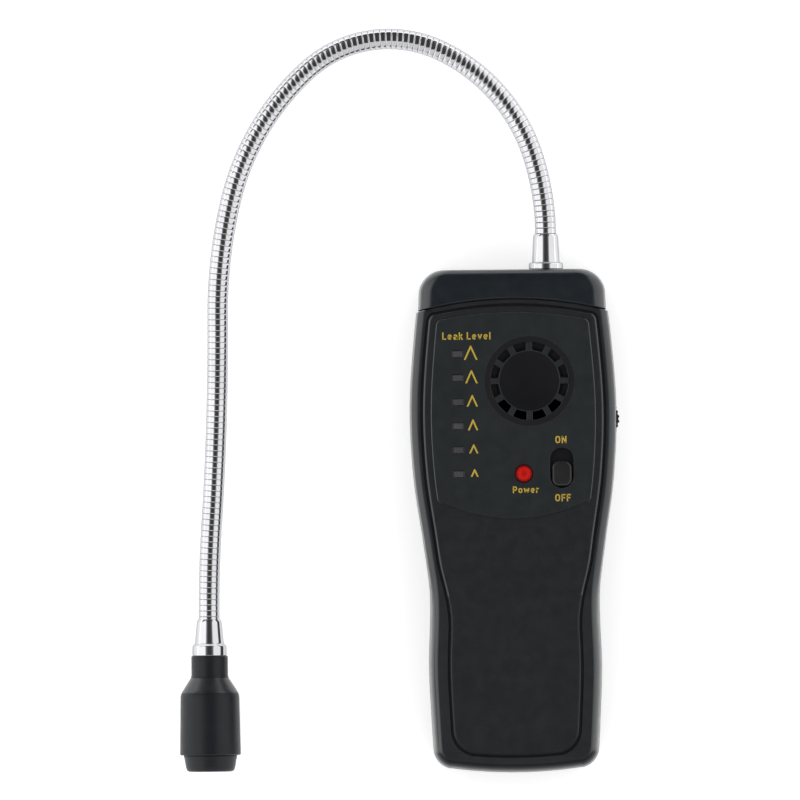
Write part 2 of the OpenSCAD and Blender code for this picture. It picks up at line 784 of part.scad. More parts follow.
module thumbwheel() {
  color("#1b1c1e") translate([wheel_x, wheel_y, wheel_z]) difference() {
    cylinder(d = wheel_d, h = wheel_t);
    translate([0, 0, -lap]) cylinder(d = shaft_d + 2 * shaft_gap, h = wheel_t + 2 * lap);
    for (i = [0 : flute_n - 1]) rotate([0, 0, 360 * (i + 0.5) / flute_n])
      translate([wheel_d / 2 + flute_out, 0, -lap]) cylinder(r = flute_r, h = wheel_t + 2 * lap, $fn = 24);
  }
}

// Cell i, counted from the left; the outer cells have their nub toward the gooseneck
function cell_x(i) = (i - 2) * cell_pitch;
function nub_up(i) = i != 2;

module battery(i) {
  color("#b9752f") translate([cell_x(i), nub_up(i) ? bay_y0 + leaf_h : bay_y1 - leaf_h, cell_z])
    rotate([nub_up(i) ? -90 : 90, 0, 0]) {
      cylinder(d = cell_d, h = cell_l - cell_nub_l);
      cylinder(d = cell_nub_d, h = cell_l);
    }
}

// Leaf contact standing on the bay wall, its tip against the flat end of a cell
module leaf() {
  translate([-strip_w / 2, 0, 0]) rotate([90, 0, 90]) linear_extrude(strip_w) union() {
    translate([0, -strip_h / 2]) square([strip_t, strip_h]);
    polygon([
      [strip_t / 2, leaf_top], [leaf_h, leaf_tip / 2], [leaf_h, -leaf_tip / 2],
      [strip_t / 2, leaf_top - leaf_t]
    ]);
  }
}

module spring_contacts() {
  color("#c9cbcd") for (i = [1 : cell_n]) translate([cell_x(i), nub_up(i) ? bay_y0 : bay_y1, cell_z])
    mirror([0, nub_up(i) ? 0 : 1, 0]) leaf();
}

module plate_contacts() {
  color("#c9cbcd") for (i = [1 : cell_n])
    translate([cell_x(i) - strip_w / 2, nub_up(i) ? bay_y1 - strip_t : bay_y0, cell_z - strip_h / 2])
      cube([strip_w, strip_t, strip_h]);
}

// Places a revolved piece whose axis is Z onto the base of the arm, and onto its far end
module at_base() {
  translate([arm_x, y_top, arm_z]) rotate([-90, 0, 0]) children();
}
module at_tip() {
  translate([arm_end[0], arm_end[1], arm_z]) rotate([0, 0, arm_end[2] - 90]) rotate([-90, 0, 0])
    children();
}

module base_ferrule() {
  bore = neck_r + neck_fit;
  floor_a = ferrule_l - socket_l;
  color("#d9dbdd") at_base() rotate_extrude() polygon([
    [lead_r, -stem_l], [stem_d / 2, -stem_l], [stem_d / 2, 0], [flange_d / 2, 0],
    [flange_d / 2, flange_t], [flange_d / 2 - flange_bevel, flange_t + flange_bevel],
    [bore + taper_foot, flange_t + flange_bevel], [bore + taper_top, ferrule_l - 2 * lip_bevel],
    [bore + taper_top - lip_bevel, ferrule_l], [bore, ferrule_l], [bore, floor_a], [lead_r, floor_a]
  ]);
}

module ferrule_nut() {
  color("#d0d2d4") at_base() translate([0, 0, -wall - nut_t]) difference() {
    cylinder(r = nut_r, h = nut_t, $fn = 6);
    translate([0, 0, -lap]) cylinder(d = stem_d + 2 * nut_fit, h = nut_t + 2 * lap);
  }
}

// Arm path: position and heading at distance s from the mouth of the base ferrule
function bend_step(p, l, a) =
  abs(a) < 0.01
  ? [p[0] + l * cos(p[2]), p[1] + l * sin(p[2]), p[2]]
  : let (r = l * 180 / PI / a)
    [p[0] + r * (sin(p[2] + a) - sin(p[2])), p[1] - r * (cos(p[2] + a) - cos(p[2])), p[2] + a];
function arm_at(s, p = [arm_x, arm_y, 90], i = 0) =
  s < 0 || i == len(bends) ? bend_step(p, s, 0)
  : s <= bends[i][0] ? bend_step(p, s, bends[i][1] * s / bends[i][0])
  : arm_at(s - bends[i][0], bend_step(p, bends[i][0], bends[i][1]), i + 1);

// Ring of radius r square to the arm at s
function arm_ring(s, r) =
  let (p = arm_at(s))
  [for (i = [0 : neck_n - 1])
    let (a = 360 * i / neck_n)
    [p[0] - r * cos(a) * sin(p[2]), p[1] + r * cos(a) * cos(p[2]), arm_z + r * sin(a)]];

// Turns Z along the arm at s
module on_arm(s) {
  p = arm_at(s);
  translate([p[0], p[1], arm_z]) rotate([0, 0, p[2]]) rotate([0, 90, 0]) children();
}

// Stretch i of the gooseneck: a ribbed tube swept along the arm with a blind bore,
// a socket at its near end and a ball at its far end
module neck(i) {
  s0 = i == 0 ? socket_gap - socket_l : flex[i - 1] + flex_gap / 2;
  s1 = i == len(flex) ? arm_l + socket_l - socket_gap : flex[i] - flex_gap / 2;
  ribs = round((s1 - s0) / rib_pitch);
  bore_l = s1 - blind_l - s0;
  steps = ceil(bore_l / bore_step);
  color("#d4d6d9") difference() {
    union() {
      loft(concat(
        [for (j = [steps : -1 : 0]) arm_ring(s0 + bore_l * j / steps, neck_bore / 2)],
        [for (j = [0 : 2 * ribs]) arm_ring(s0 + (s1 - s0) * j / (2 * ribs), neck_r - rib_depth * (j % 2))]
      ));
      if (i < len(flex)) on_arm(flex[i]) sphere(ball_r);
    }
    if (i > 0) on_arm(flex[i - 1]) sphere(ball_r + ball_gap);
  }
}
module gooseneck_root() { neck(0); }
module gooseneck_1() { neck(1); }
module gooseneck_2() { neck(2); }
module gooseneck_3() { neck(3); }
module gooseneck_4() { neck(4); }

module probe_ferrule() {
  bore = neck_r + neck_fit;
  end = tip_ferrule_l;
  color("#d9dbdd") at_tip() rotate_extrude() polygon([
    [bore, 0], [bore + taper_top - lip_bevel, 0], [bore + taper_top, 2 * lip_bevel],
    [bore + tip_foot, end - tip_neck_l], [flange_d / 2 - lip_bevel, end - tip_flange_t - lip_bevel],
    [flange_d / 2, end - tip_flange_t], [flange_d / 2, end], [thread_r, end],
    [thread_r, end + thread_l], [lead_r, end + thread_l], [lead_r, socket_l], [bore, socket_l]
  ]);
}

module probe_body() {
  neck = probe_neck_d / 2;
  big = probe_d / 2;
  bore = thread_r + thread_fit;
  cone_end = neck_l + cone_l;
  color("#2b2d30") at_tip() translate([0, 0, tip_ferrule_l]) rotate_extrude() polygon([
    [bore, 0], [neck - probe_bevel, 0], [neck, probe_bevel], [neck, neck_l],
    [big - shoulder_in, cone_end], [big - barrel_in, cone_end + shoulder_l],
    [big, probe_l - probe_bevel], [big - probe_bevel, probe_l], [probe_bore_r, probe_l],
    [probe_bore_r, bore_floor + cone_l], [bore, bore_floor]
  ]);
}

module probe_nose() {
  r = nose_d / 2;
  bore = sensor_d / 2 + nose_fit;
  color("#2b2d30") at_tip() translate([0, 0, nose_a]) rotate_extrude() polygon([
    [bore, -nose_plug_l], [probe_bore_r - nose_fit, -nose_plug_l], [probe_bore_r - nose_fit, 0], [r, 0],
    [r - nose_taper, nose_foot_l], [r - 2 * nose_taper, nose_l - nose_foot_l],
    [r - 3 * nose_taper, nose_l - nose_taper], [r - 5 * nose_taper, nose_l],
    [sensor_d / 2 - nose_lip, nose_l], [sensor_d / 2 - nose_lip, nose_l - nose_lip_t],
    [bore, nose_l - nose_lip_t]
  ]);
}

module gas_sensor() {
  end = nose_l - nose_lip_t - mesh_t - 2 * mesh_gap;
  color("#a9acb0") at_tip() translate([0, 0, nose_a + end - sensor_l]) cylinder(d = sensor_d, h = sensor_l);
}

module sensor_mesh() {
  back = nose_l - nose_lip_t - mesh_t - mesh_gap;
  color("#9fa2a6") at_tip() translate([0, 0, nose_a + back]) difference() {
    cylinder(d = sensor_d, h = mesh_t);
    for (r = [0 : 2]) for (i = [0 : max(6 * r, 1) - 1]) rotate([0, 0, 360 * i / max(6 * r, 1)])
      translate([mesh_pitch * r, 0, -lap]) cylinder(r = mesh_hole_r, h = mesh_t + 2 * lap, $fn = 24);
  }
}

front_shell();
back_shell();
top_cap();
battery_door();
case_screws();
main_board();
speaker();
sense_led(1);  // sense_led_1
sense_led(2);  // sense_led_2
sense_led(3);  // sense_led_3
sense_led(4);  // sense_led_4
sense_led(5);  // sense_led_5
sense_led(6);  // sense_led_6
power_led();
switch_body();
switch_knob();
pot_base();
thumbwheel();
battery(1);  // battery_1
battery(2);  // battery_2
battery(3);  // battery_3
spring_contacts();
plate_contacts();
base_ferrule();
ferrule_nut();
gooseneck_root();
gooseneck_1();
gooseneck_2();
gooseneck_3();
gooseneck_4();
probe_ferrule();
probe_body();
probe_nose();
gas_sensor();
sensor_mesh();
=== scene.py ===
"""Looks of a handheld leak detector: moulded shells, a ribbed chrome gooseneck, print and finishes."""

import functools
import math
from math import cos, pi, sin

import bmesh
import bpy
import numpy as np
from numpy.linalg import norm
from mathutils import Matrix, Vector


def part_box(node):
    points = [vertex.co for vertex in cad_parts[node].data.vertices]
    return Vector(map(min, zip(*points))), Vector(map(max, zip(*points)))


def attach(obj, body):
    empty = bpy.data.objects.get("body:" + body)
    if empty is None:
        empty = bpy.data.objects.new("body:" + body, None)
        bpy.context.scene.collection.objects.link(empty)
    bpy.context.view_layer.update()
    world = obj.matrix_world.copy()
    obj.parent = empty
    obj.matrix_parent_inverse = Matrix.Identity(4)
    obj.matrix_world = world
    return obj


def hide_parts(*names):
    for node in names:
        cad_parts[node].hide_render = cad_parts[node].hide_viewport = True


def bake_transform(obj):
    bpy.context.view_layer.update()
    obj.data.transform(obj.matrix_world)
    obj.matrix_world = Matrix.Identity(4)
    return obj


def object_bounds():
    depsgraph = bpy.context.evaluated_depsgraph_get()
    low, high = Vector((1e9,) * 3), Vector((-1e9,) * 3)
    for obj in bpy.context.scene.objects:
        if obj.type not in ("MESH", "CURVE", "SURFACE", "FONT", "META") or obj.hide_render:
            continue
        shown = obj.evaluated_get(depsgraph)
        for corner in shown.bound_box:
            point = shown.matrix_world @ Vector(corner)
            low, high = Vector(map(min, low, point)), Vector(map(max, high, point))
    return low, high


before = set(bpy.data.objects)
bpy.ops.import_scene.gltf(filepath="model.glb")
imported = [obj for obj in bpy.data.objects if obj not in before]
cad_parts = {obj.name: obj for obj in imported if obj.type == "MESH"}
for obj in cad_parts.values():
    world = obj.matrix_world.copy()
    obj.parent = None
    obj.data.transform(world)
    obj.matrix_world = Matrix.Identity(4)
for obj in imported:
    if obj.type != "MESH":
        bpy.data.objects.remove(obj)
cad_low, cad_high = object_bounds()

MM = 0.001

# Housing sizes in millimetres, the same as the solids have.
BODY_L = 176.0
HEAD_W = 72.4
GRIP_W = 59.5
BODY_T = 40.0
WALL = 2.2
EDGE_R = 2.8
BACK_R = 6.0
CORNER_R = 7.5
CAP_R = 7.5
CAP_EDGE_R = 4.6
CAP_L = 10.5
PART_Z = 21.0
SEAM_GAP = 0.3
SEAM_BREAK = 0.25
CAP_BREAK = 0.6
DRAFT = 0.5
GRIP_SOFT = 3.4
RIM_FALL = 0.3
INNER_R = 2.0
Y_BOT = -BODY_L / 2
Y_TOP = BODY_L / 2
Y_SEAM = Y_TOP - CAP_L
SEAM_END_R = 0.5
LIP_IN = 3.0
LIP_OUT = 4.0
LIP_T = 1.85
LIP_GAP = 0.15
LEAD_HOLE_R = 3.0
LEAD_HOLE_L = 12.0
MIN_PLAN_R = 0.8
WELD = 0.002
LAP = 1.0

# The rim, its groove, the raised face and the panel on the front.
RIM_Z = 39.0
FACE_Z = 39.5
ROOF_Z = 36.8
CAP_Z = 39.3
FACE_R = 1.0
PANEL_R = 0.5
GRIP_RIM = 2.8
END_RIM = 5.7
CAP_RIM = 1.7
RIM_HEAD = 4.1
GROOVE_W = 0.8
GROOVE_D = 0.6
PANEL_RIM = 3.2
PANEL_Y0 = 0.7
PANEL_Y1 = 73.1
FACE_BOT_R = 9.0
FACE_TOP_R = 3.5
PANEL_BOT_R = 3.0
PANEL_TOP_R = 2.5
BULGE_BOT = 0.0031
BULGE_SEAM = 0.0039
BULGE_PANEL = 0.0091
CAP_TOP_R = 3.5
CROWN_FRONT = 0.3
CROWN_BACK = 0.1

# The housing's side line: place along the length as a share of it,
# then share of the way from grip to head width.
SIDE_SHAPE = (
    (-0.5, -0.19), (-0.4, -0.03), (-0.29, 0.085), (-0.148, 0.0), (-0.045, 0.33),
    (0.091, 0.845), (0.227, 1.0), (0.375, 0.72), (0.5, 0.287),
)
GRIP_START = -0.075
GRIP_SPAN = 0.14

# Points along the parts of half an outline, and steps round a rounded edge.
END_STEPS = 14
ARC_STEPS = 10
SIDE_STEPS = 120
EDGE_STEPS = 10

# Grille, lamps, switch and wheel on the front.
GRILLE_X = 5.7
GRILLE_Y = 49.0
GRILLE_R = 13.7
SLOT_COUNT = 12
SLOT_LEN = 2.9
SLOT_CORNER = 0.45
BRIDGE_W = 2.1
DISH_R = 10.4
DISH_DEPTH = 1.0
SINK_D = 0.25
SINK_R = 13.9
SINK_SLOPE = 7.0
SINK_IN = 0.3
SINK_LIFT = 0.02
SINK_SHARES = (0.15, 0.5, 0.85, 1.0, 1.15)
DISH_AROUND = 120
LAMP_X = -19.3
LAMP_Y = 58.6
LAMP_STEP = 8.4
LAMP_COUNT = 6
LAMP_L = 3.7
LAMP_H = 2.4
LAMP_FIT = 0.1
LENS_CORNER = 0.25
LENS_EDGE = 0.2
LENS_KEEP = 0.02
POWER_X = 3.5
POWER_Y = 16.6
POWER_R = 3.0
POWER_FIT = 0.1
POWER_SINK = 0.6
DOME_SHARE = 0.97
WINDOW_CORNER = 0.3
ROUND_FIT = 0.01
SLOT_FLARE = 0.1
WINDOW_FLARE = 0.15
HOLE_FLARE = 0.25
RECESS_FLARE = 0.12
CUT_LOW = ROOF_Z - 2.0
SWITCH_X = 16.8
SWITCH_Y = 18.5
RECESS_W = 8.3
RECESS_L = 14.0
RECESS_Z = 37.7
KNOB_W = 6.9
KNOB_L = 8.6
KNOB_R = 2.44
KNOB_Y = 16.5
KNOB_Z0 = 37.9
KNOB_Z1 = 40.5
KNOB_EDGE = 0.8
STEM_W = 2.4
STEM_GAP = 0.3
STEM_BACK = 1.5
STEM_CORNER = 0.2
SWITCH_TRAVEL = 4.0
WHEEL_X = 30.217
WHEEL_Y = 35.4
WHEEL_R = 7.0
WHEEL_Z0 = 23.2
WHEEL_Z1 = 26.6
WHEEL_GAP = 0.4
WHEEL_EDGE = 0.35
FLUTES = 24
FLUTE_R = 0.75
FLUTE_OUT = 0.35
SHAFT_HOLE_R = 1.55

# The way of the gooseneck: its start, its height, then bends as length and turn in degrees.
ARM_X = 12.0
ARM_Y = 100.4
ARM_Z = 20.5
ARM_BENDS = (
    (28.0, 17.4), (50.6, 47.2), (50.0, 67.5), (53.0, 33.9), (41.3, 13.8), (72.5, -4.0), (33.5, 4.2),
)
NECK_R = 3.7
BORE_R = 2.2
STEM_HOLE_R = 4.1
RIB_PITCH = 2.0
NECK_AROUND = 36
TURNED_AROUND = 96
NO_LENGTH = 1e-9
CORNER_SHARE = 0.45


def smoothstep(t):
    t = min(max(t, 0.0), 1.0)
    return t * t * (3.0 - 2.0 * t)


# Slope of the side line at each of its points, from the points on either side.
SIDE_ENDS = (SIDE_SHAPE[0], *SIDE_SHAPE, SIDE_SHAPE[-1])
SIDE_SLOPES = [(b[1] - a[1]) / (b[0] - a[0]) for a, b in zip(SIDE_ENDS, SIDE_ENDS[2:])]


def side_share(t):
    i = 0
    while i < len(SIDE_SHAPE) - 2 and t > SIDE_SHAPE[i + 1][0]:
        i += 1
    x0, y0 = SIDE_SHAPE[i]
    x1, y1 = SIDE_SHAPE[i + 1]
    span = x1 - x0
    u = (t - x0) / span
    a = (1.0 + 2.0 * u) * (1.0 - u) ** 2 * y0
    b = u * (1.0 - u) ** 2 * span * SIDE_SLOPES[i]
    c = u * u * (3.0 - 2.0 * u) * y1
    d = u * u * (u - 1.0) * span * SIDE_SLOPES[i + 1]
    return a + b + c + d


def half_w(y):
    return GRIP_W / 2 + (HEAD_W - GRIP_W) / 2 * side_share(y / BODY_L)


def grip_share(y):
    """0 along the head, 1 along the grip."""
    return smoothstep((GRIP_START - y / BODY_L) / GRIP_SPAN)


def side_x(y, inset, grip):
    return half_w(y) - inset - grip * grip_share(y)


def plan_corner(inset, grip, y, k, r, up):
    """Middle of a rounded corner, tilt of the bowed end where it meets the corner, and x of that place."""
    x = side_x(y + up * r, inset, grip) - r
    tilt = math.atan(2 * k * x)
    yc = y + up * (k * x * x + r * cos(tilt))
    xc = side_x(yc, inset, grip) - r
    return xc, yc, tilt, xc + r * sin(tilt)


def plan(inset, grip, y0, k0, r0, y1, k1, r1):
    """Outline of the housing seen from the front: bowed ends, rounded corners and the waisted sides."""
    x0c, y0c, t0, x0e = plan_corner(inset, grip, y0, k0, r0, 1)
    x1c, y1c, t1, x1e = plan_corner(inset, grip, y1, k1, r1, -1)
    half = [(x, y0 + k0 * x * x) for x in np.linspace(0.0, x0e, END_STEPS)]
    for a in np.linspace(t0 - pi / 2, 0.0, ARC_STEPS)[1:]:
        half.append((x0c + r0 * cos(a), y0c + r0 * sin(a)))
    half += [(side_x(y, inset, grip), y) for y in np.linspace(y0c, y1c, SIDE_STEPS)[1:-1]]
    for a in np.linspace(0.0, pi / 2 - t1, ARC_STEPS)[:-1]:
        half.append((x1c + r1 * cos(a), y1c + r1 * sin(a)))
    half += [(x, y1 - k1 * x * x) for x in np.linspace(x1e, 0.0, END_STEPS)]
    left = [(-x, y) for x, y in half[-2:0:-1]]
    return np.array(half + left)


def shell_plan(inset, end=0.0):
    corner = max(CORNER_R - inset, MIN_PLAN_R)
    return plan(inset, 0.0, Y_BOT + inset, BULGE_BOT, corner, Y_SEAM - end, BULGE_SEAM, SEAM_END_R)


def face_plan(inset):
    bottom = Y_BOT + END_RIM + inset
    top = Y_SEAM - CAP_RIM - inset
    return plan(
        RIM_HEAD + inset, GRIP_RIM, bottom, BULGE_BOT, FACE_BOT_R - inset,
        top, BULGE_SEAM, FACE_TOP_R - inset,
    )


def panel_plan(inset):
    return plan(
        RIM_HEAD + PANEL_RIM + inset, 0.0, PANEL_Y0 + inset, BULGE_PANEL, PANEL_BOT_R - inset,
        PANEL_Y1 - inset, BULGE_SEAM, PANEL_TOP_R - inset,
    )


def at_z(outline, z):
    return np.column_stack([outline, np.full(len(outline), z)])


def quarter(steps=EDGE_STEPS):
    """Share of a rounded edge's radius gone inward and gone down, from its foot to its top."""
    angles = np.linspace(0.0, pi / 2, steps)
    return [(1.0 - cos(a), 1.0 - sin(a)) for a in angles]


def top_edge(outline, r, z, steps=EDGE_STEPS):
    """Rings of a rounded edge that ends at height z; outline takes its inset."""
    return [at_z(outline(r * inward), z - r * down) for inward, down in quarter(steps)]


def low_edge(outline, r, z, steps=EDGE_STEPS):
    """Rings of a rounded edge that starts at height z."""
    return [at_z(outline(r * inward), z + r * down) for inward, down in quarter(steps)[::-1]]


def add_object(name, data):
    thing = bpy.data.objects.new(name, data)
    bpy.context.scene.collection.objects.link(thing)
    return thing


def new_piece(name, verts, faces):
    """Mesh object from millimetres in the shared frame, with its faces turned outward."""
    mesh = bpy.data.meshes.new(name)
    mesh.from_pydata((np.asarray(verts, dtype=float) * MM).tolist(), [], faces)
    work = bmesh.new()
    work.from_mesh(mesh)
    bmesh.ops.recalc_face_normals(work, faces=work.faces)
    work.to_mesh(mesh)
    work.free()
    return add_object(name, mesh)


def ring_faces(rings, count, closed):
    """Faces between rings of equal count; closed joins the last ring to the first."""
    faces = []
    for r in range(rings if closed else rings - 1):
        a = r * count
        b = ((r + 1) % rings) * count
        for i in range(count):
            j = (i + 1) % count
            faces.append((a + i, a + j, b + j, b + i))
    return faces


def loft(name, rings):
    """Closed skin through equal rings of points, with the first and the last ring filled."""
    count = len(rings[0])
    faces = ring_faces(len(rings), count, False)
    faces.append(tuple(range(count)))
    last = (len(rings) - 1) * count
    faces.append(tuple(range(last, last + count)))
    return new_piece(name, np.concatenate(rings), faces)


def prism(name, outline, z0, z1):
    return loft(name, [at_z(outline, z0), at_z(outline, z1)])


def tube(name, rings):
    """Closed skin through equal rings of points, with the last ring joined to the first."""
    return new_piece(name, np.concatenate(rings), ring_faces(len(rings), len(rings[0]), True))


def join(name, pieces):
    """One object of several meshes that stand apart."""
    work = bmesh.new()
    for piece in pieces:
        work.from_mesh(piece.data)
    mesh = bpy.data.meshes.new(name)
    work.to_mesh(mesh)
    work.free()
    for piece in pieces:
        drop(piece)
    return add_object(name, mesh)


def drop(piece):
    mesh = piece.data
    bpy.data.objects.remove(piece)
    bpy.data.meshes.remove(mesh)


def combine(piece, tool, operation):
    """Exact boolean of a piece with a tool mesh, which is used up."""
    step = piece.modifiers.new("combine", "BOOLEAN")
    step.operation = operation
    step.solver = "EXACT"
    step.object = tool
    graph = bpy.context.evaluated_depsgraph_get()
    result = bpy.data.meshes.new_from_object(piece.evaluated_get(graph))
    old = piece.data
    piece.modifiers.clear()
    piece.data = result
    bpy.data.meshes.remove(old)
    drop(tool)


def cut(piece, *tools):
    for tool in tools:
        combine(piece, tool, "DIFFERENCE")


def weld(piece):
    """Points that the booleans left in one place become one."""
    work = bmesh.new()
    work.from_mesh(piece.data)
    bmesh.ops.remove_doubles(work, verts=work.verts, dist=WELD * MM)
    bmesh.ops.dissolve_degenerate(work, edges=work.edges, dist=WELD * MM)
    work.to_mesh(piece.data)
    work.free()


def finish_skin(piece, angle=28.0):
    """Smooth shading that keeps real edges, with flat faces kept flat."""
    piece.data.shade_smooth()
    piece.data.set_sharp_from_angle(angle=math.radians(angle))
    step = piece.modifiers.new("clean normals", "WEIGHTED_NORMAL")
    step.keep_sharp = True
    step.weight = 90
    return piece


def dress(piece, material):
    piece.data.materials.clear()
    piece.data.materials.append(material)


def around(steps):
    """Angles evenly round a full turn."""
    return np.linspace(0.0, 2 * pi, steps, endpoint=False)


def circle(x, y, r, steps=64):
    angles = around(steps)
    return np.column_stack([x + r * np.cos(angles), y + r * np.sin(angles)])


def round_rect(x, y, w, h, r, steps=8):
    points = []
    for cx, cy, start in ((1, 1, 0), (-1, 1, 90), (-1, -1, 180), (1, -1, 270)):
        for a in np.radians(np.linspace(start, start + 90, steps)):
            points.append((cx * (w / 2 - r) + r * cos(a), cy * (h / 2 - r) + r * sin(a)))
    return np.array(points) + (x, y)


def sector(grow, centre):
    """Outline of one grille slot as x + yj, then as points; grow widens it all round."""
    corner = SLOT_CORNER + grow
    half = BRIDGE_W / 2 - grow
    bend = np.linspace(0.0, pi / 2, 5)
    points = []
    for r, side in ((GRILLE_R + grow, -1), (GRILLE_R - SLOT_LEN - grow, 1)):
        mid = r + side * corner
        reach = pi / SLOT_COUNT - math.asin((half + corner) / mid)
        rounding = mid - side * corner * np.cos(bend) + 1j * side * corner * np.sin(bend)
        turn = np.exp(1j * side * reach)
        arc = r * np.exp(1j * side * reach * np.linspace(1.0, -1.0, 11))
        points += [*(rounding * turn)[:0:-1], *arc, *(rounding * turn).conj()[1:]]
    points = np.array(points) * np.exp(1j * centre) + complex(GRILLE_X, GRILLE_Y)
    return np.column_stack([points.real, points.imag])


def flared(name, outline, z0, top, flare):
    """Cutter with straight walls whose mouth at the surface opens in a rounded edge."""
    mouth = top_edge(outline, flare, top, 5)
    return loft(name, [at_z(outline(0.0), z0), *mouth, at_z(outline(flare), top + LAP)])


def dish():
    """Cutter of the grille's sunk ring and of the shallow dish in its middle."""
    floor = BODY_T - SINK_D
    slope = SINK_SLOPE * SINK_D
    steps = [(DISH_R * t, floor - DISH_DEPTH * (1.0 - t * t)) for t in np.linspace(0.02, 1.0, 22)]
    steps += [(DISH_R + SINK_IN, floor + SINK_LIFT), (SINK_R - SINK_IN, floor + SINK_LIFT)]
    for share in SINK_SHARES:
        steps.append((SINK_R + slope * share, floor + SINK_D * (share + smoothstep(share)) / 2))
    steps.append((SINK_R + slope * SINK_SHARES[-1], BODY_T + LAP))
    return loft("dish", [at_z(circle(GRILLE_X, GRILLE_Y, r, DISH_AROUND), z) for r, z in steps])


def window_plan(grow, y):
    return round_rect(LAMP_X, y, LAMP_L + 2 * grow, LAMP_H + 2 * grow, WINDOW_CORNER + grow)


def lamp_hole_plan(grow):
    return circle(POWER_X, POWER_Y, POWER_R + POWER_FIT + grow)


def recess_plan(grow):
    end = RECESS_W / 2 - ROUND_FIT + grow
    return round_rect(SWITCH_X, SWITCH_Y, RECESS_W + 2 * grow, RECESS_L + 2 * grow, end, 20)


def front_cutters():
    """Cutters of the grille's slots, the lamps' windows, the red lamp's hole and the switch's recess."""
    cutters = []
    for k in range(SLOT_COUNT):
        centre = pi / SLOT_COUNT + 2 * pi * k / SLOT_COUNT
        outline = functools.partial(sector, centre=centre)
        cutters.append(flared("slot", outline, CUT_LOW, BODY_T - SINK_D, SLOT_FLARE))
    for k in range(LAMP_COUNT):
        outline = functools.partial(window_plan, y=LAMP_Y - LAMP_STEP * k)
        cutters.append(flared("window", outline, CUT_LOW, BODY_T, WINDOW_FLARE))
    cutters.append(flared("lamp hole", lamp_hole_plan, CUT_LOW, BODY_T, HOLE_FLARE))
    cutters.append(flared("recess", recess_plan, RECESS_Z, BODY_T, RECESS_FLARE))
    return join("front cutters", cutters)


def stem_slot():
    length = STEM_W + SWITCH_TRAVEL + 2 * STEM_GAP
    outline = round_rect(SWITCH_X, SWITCH_Y - STEM_BACK, STEM_W + 2 * STEM_GAP, length, STEM_CORNER)
    return prism("stem slot", outline, CUT_LOW, RECESS_Z + LAP / 2)


def wheel_slot():
    outline = circle(WHEEL_X, WHEEL_Y, WHEEL_R + WHEEL_GAP)
    return prism("wheel slot", outline, WHEEL_Z0 - WHEEL_GAP, WHEEL_Z1 + WHEEL_GAP)


def edge_ring(inward, down):
    """Ring of the front edge, whose rounding is deeper along the grip, where the rim falls a little."""
    outline = shell_plan(DRAFT + EDGE_R * inward)
    grip = np.array([grip_share(y) for x, y in outline])
    z = RIM_Z - RIM_FALL * grip - (EDGE_R + GRIP_SOFT * grip) * down
    return np.column_stack([outline, z])


def inner_plan(inset):
    return shell_plan(WALL + inset, WALL)


def front_shell():
    """Front half of the housing: rounded sides, rim, groove, raised face, panel and every opening."""
    seam = PART_Z + SEAM_GAP
    rings = top_edge(lambda inset: inner_plan(DRAFT + inset), INNER_R, ROOF_Z, 5)[::-1]
    rings.append(at_z(inner_plan(0.0), seam))
    rings += low_edge(shell_plan, SEAM_BREAK, seam, 4)
    rings += [edge_ring(inward, down) for inward, down in quarter(14)]
    rings.append(at_z(face_plan(-GROOVE_W / 2), RIM_Z))
    rings.append(at_z(face_plan(0.0), RIM_Z - GROOVE_D))
    rings += top_edge(lambda inset: face_plan(GROOVE_W / 2 + inset), FACE_R, FACE_Z)
    piece = loft("front_shell_skin", rings)
    panel = [at_z(panel_plan(0.0), FACE_Z - LAP), *top_edge(panel_plan, PANEL_R, BODY_T, 7)]
    combine(piece, loft("panel", panel), "UNION")
    cut(piece, dish(), front_cutters(), stem_slot(), wheel_slot())
    join_cap(piece, seam + LIP_GAP, BODY_T)
    weld(piece)
    return finish_skin(piece)


def block(name, half, y0, y1, z0, z1):
    """Box of a half width about the middle, for booleans."""
    outline = np.array([(-half, y0), (half, y0), (half, y1), (-half, y1)])
    return prism(name, outline, z0, z1)


# The battery door, the bay with its rails, the door's thumb grooves and the case screws.
DOOR_W = 44.5
DOOR_TOP = -23.0
DOOR_GAP = 0.15
DOOR_IN = 0.3
DOOR_T = 2.0
BAY_Y0 = -81.0
BAY_Y1 = -25.0
BAY_Z0 = DOOR_IN + DOOR_T
BAY_Z1 = 17.4
BAY_WALL = 1.4
RAIL_WALL = 2.0
RAIL_T = 2.4
TONGUE_W = 1.4
TONGUE_T = 0.9
GROOVES = 6
THUMB_W = 18.0
THUMB_T = 1.2
THUMB_STEP = 2.4
THUMB_Y = -74.4
THUMB_D = 0.5
THUMB_FLOOR_R = 0.28
SCREW_Y = (62.0, -14.0)
SCREW_IN = 6.5
SCREW_HOLE_R = 2.9
SCREW_BREAK = 0.4
SCREW_SEAT = 3.5


def back_rings(solid):
    """Rings of the back half: its rounded back, then the parting line, then the inside unless solid."""
    rings = low_edge(shell_plan, BACK_R, 0.0) + top_edge(shell_plan, SEAM_BREAK, PART_Z, 4)
    if not solid:
        rings.append(at_z(inner_plan(0.0), PART_Z))
        rings += low_edge(inner_plan, BACK_R - WALL, WALL, 6)[::-1]
    return rings


def screw_holes():
    holes = []
    for y in SCREW_Y:
        for side in (-1, 1):
            x = side * (half_w(y) - SCREW_IN)
            mouth = circle(x, y, SCREW_HOLE_R + SCREW_BREAK, 48)
            shaft = circle(x, y, SCREW_HOLE_R, 48)
            rings = [at_z(mouth, -LAP), at_z(mouth, 0.0)]
            rings += [at_z(shaft, SCREW_BREAK), at_z(shaft, SCREW_SEAT)]
            holes.append(loft("screw hole", rings))
    return join("screw holes", holes)


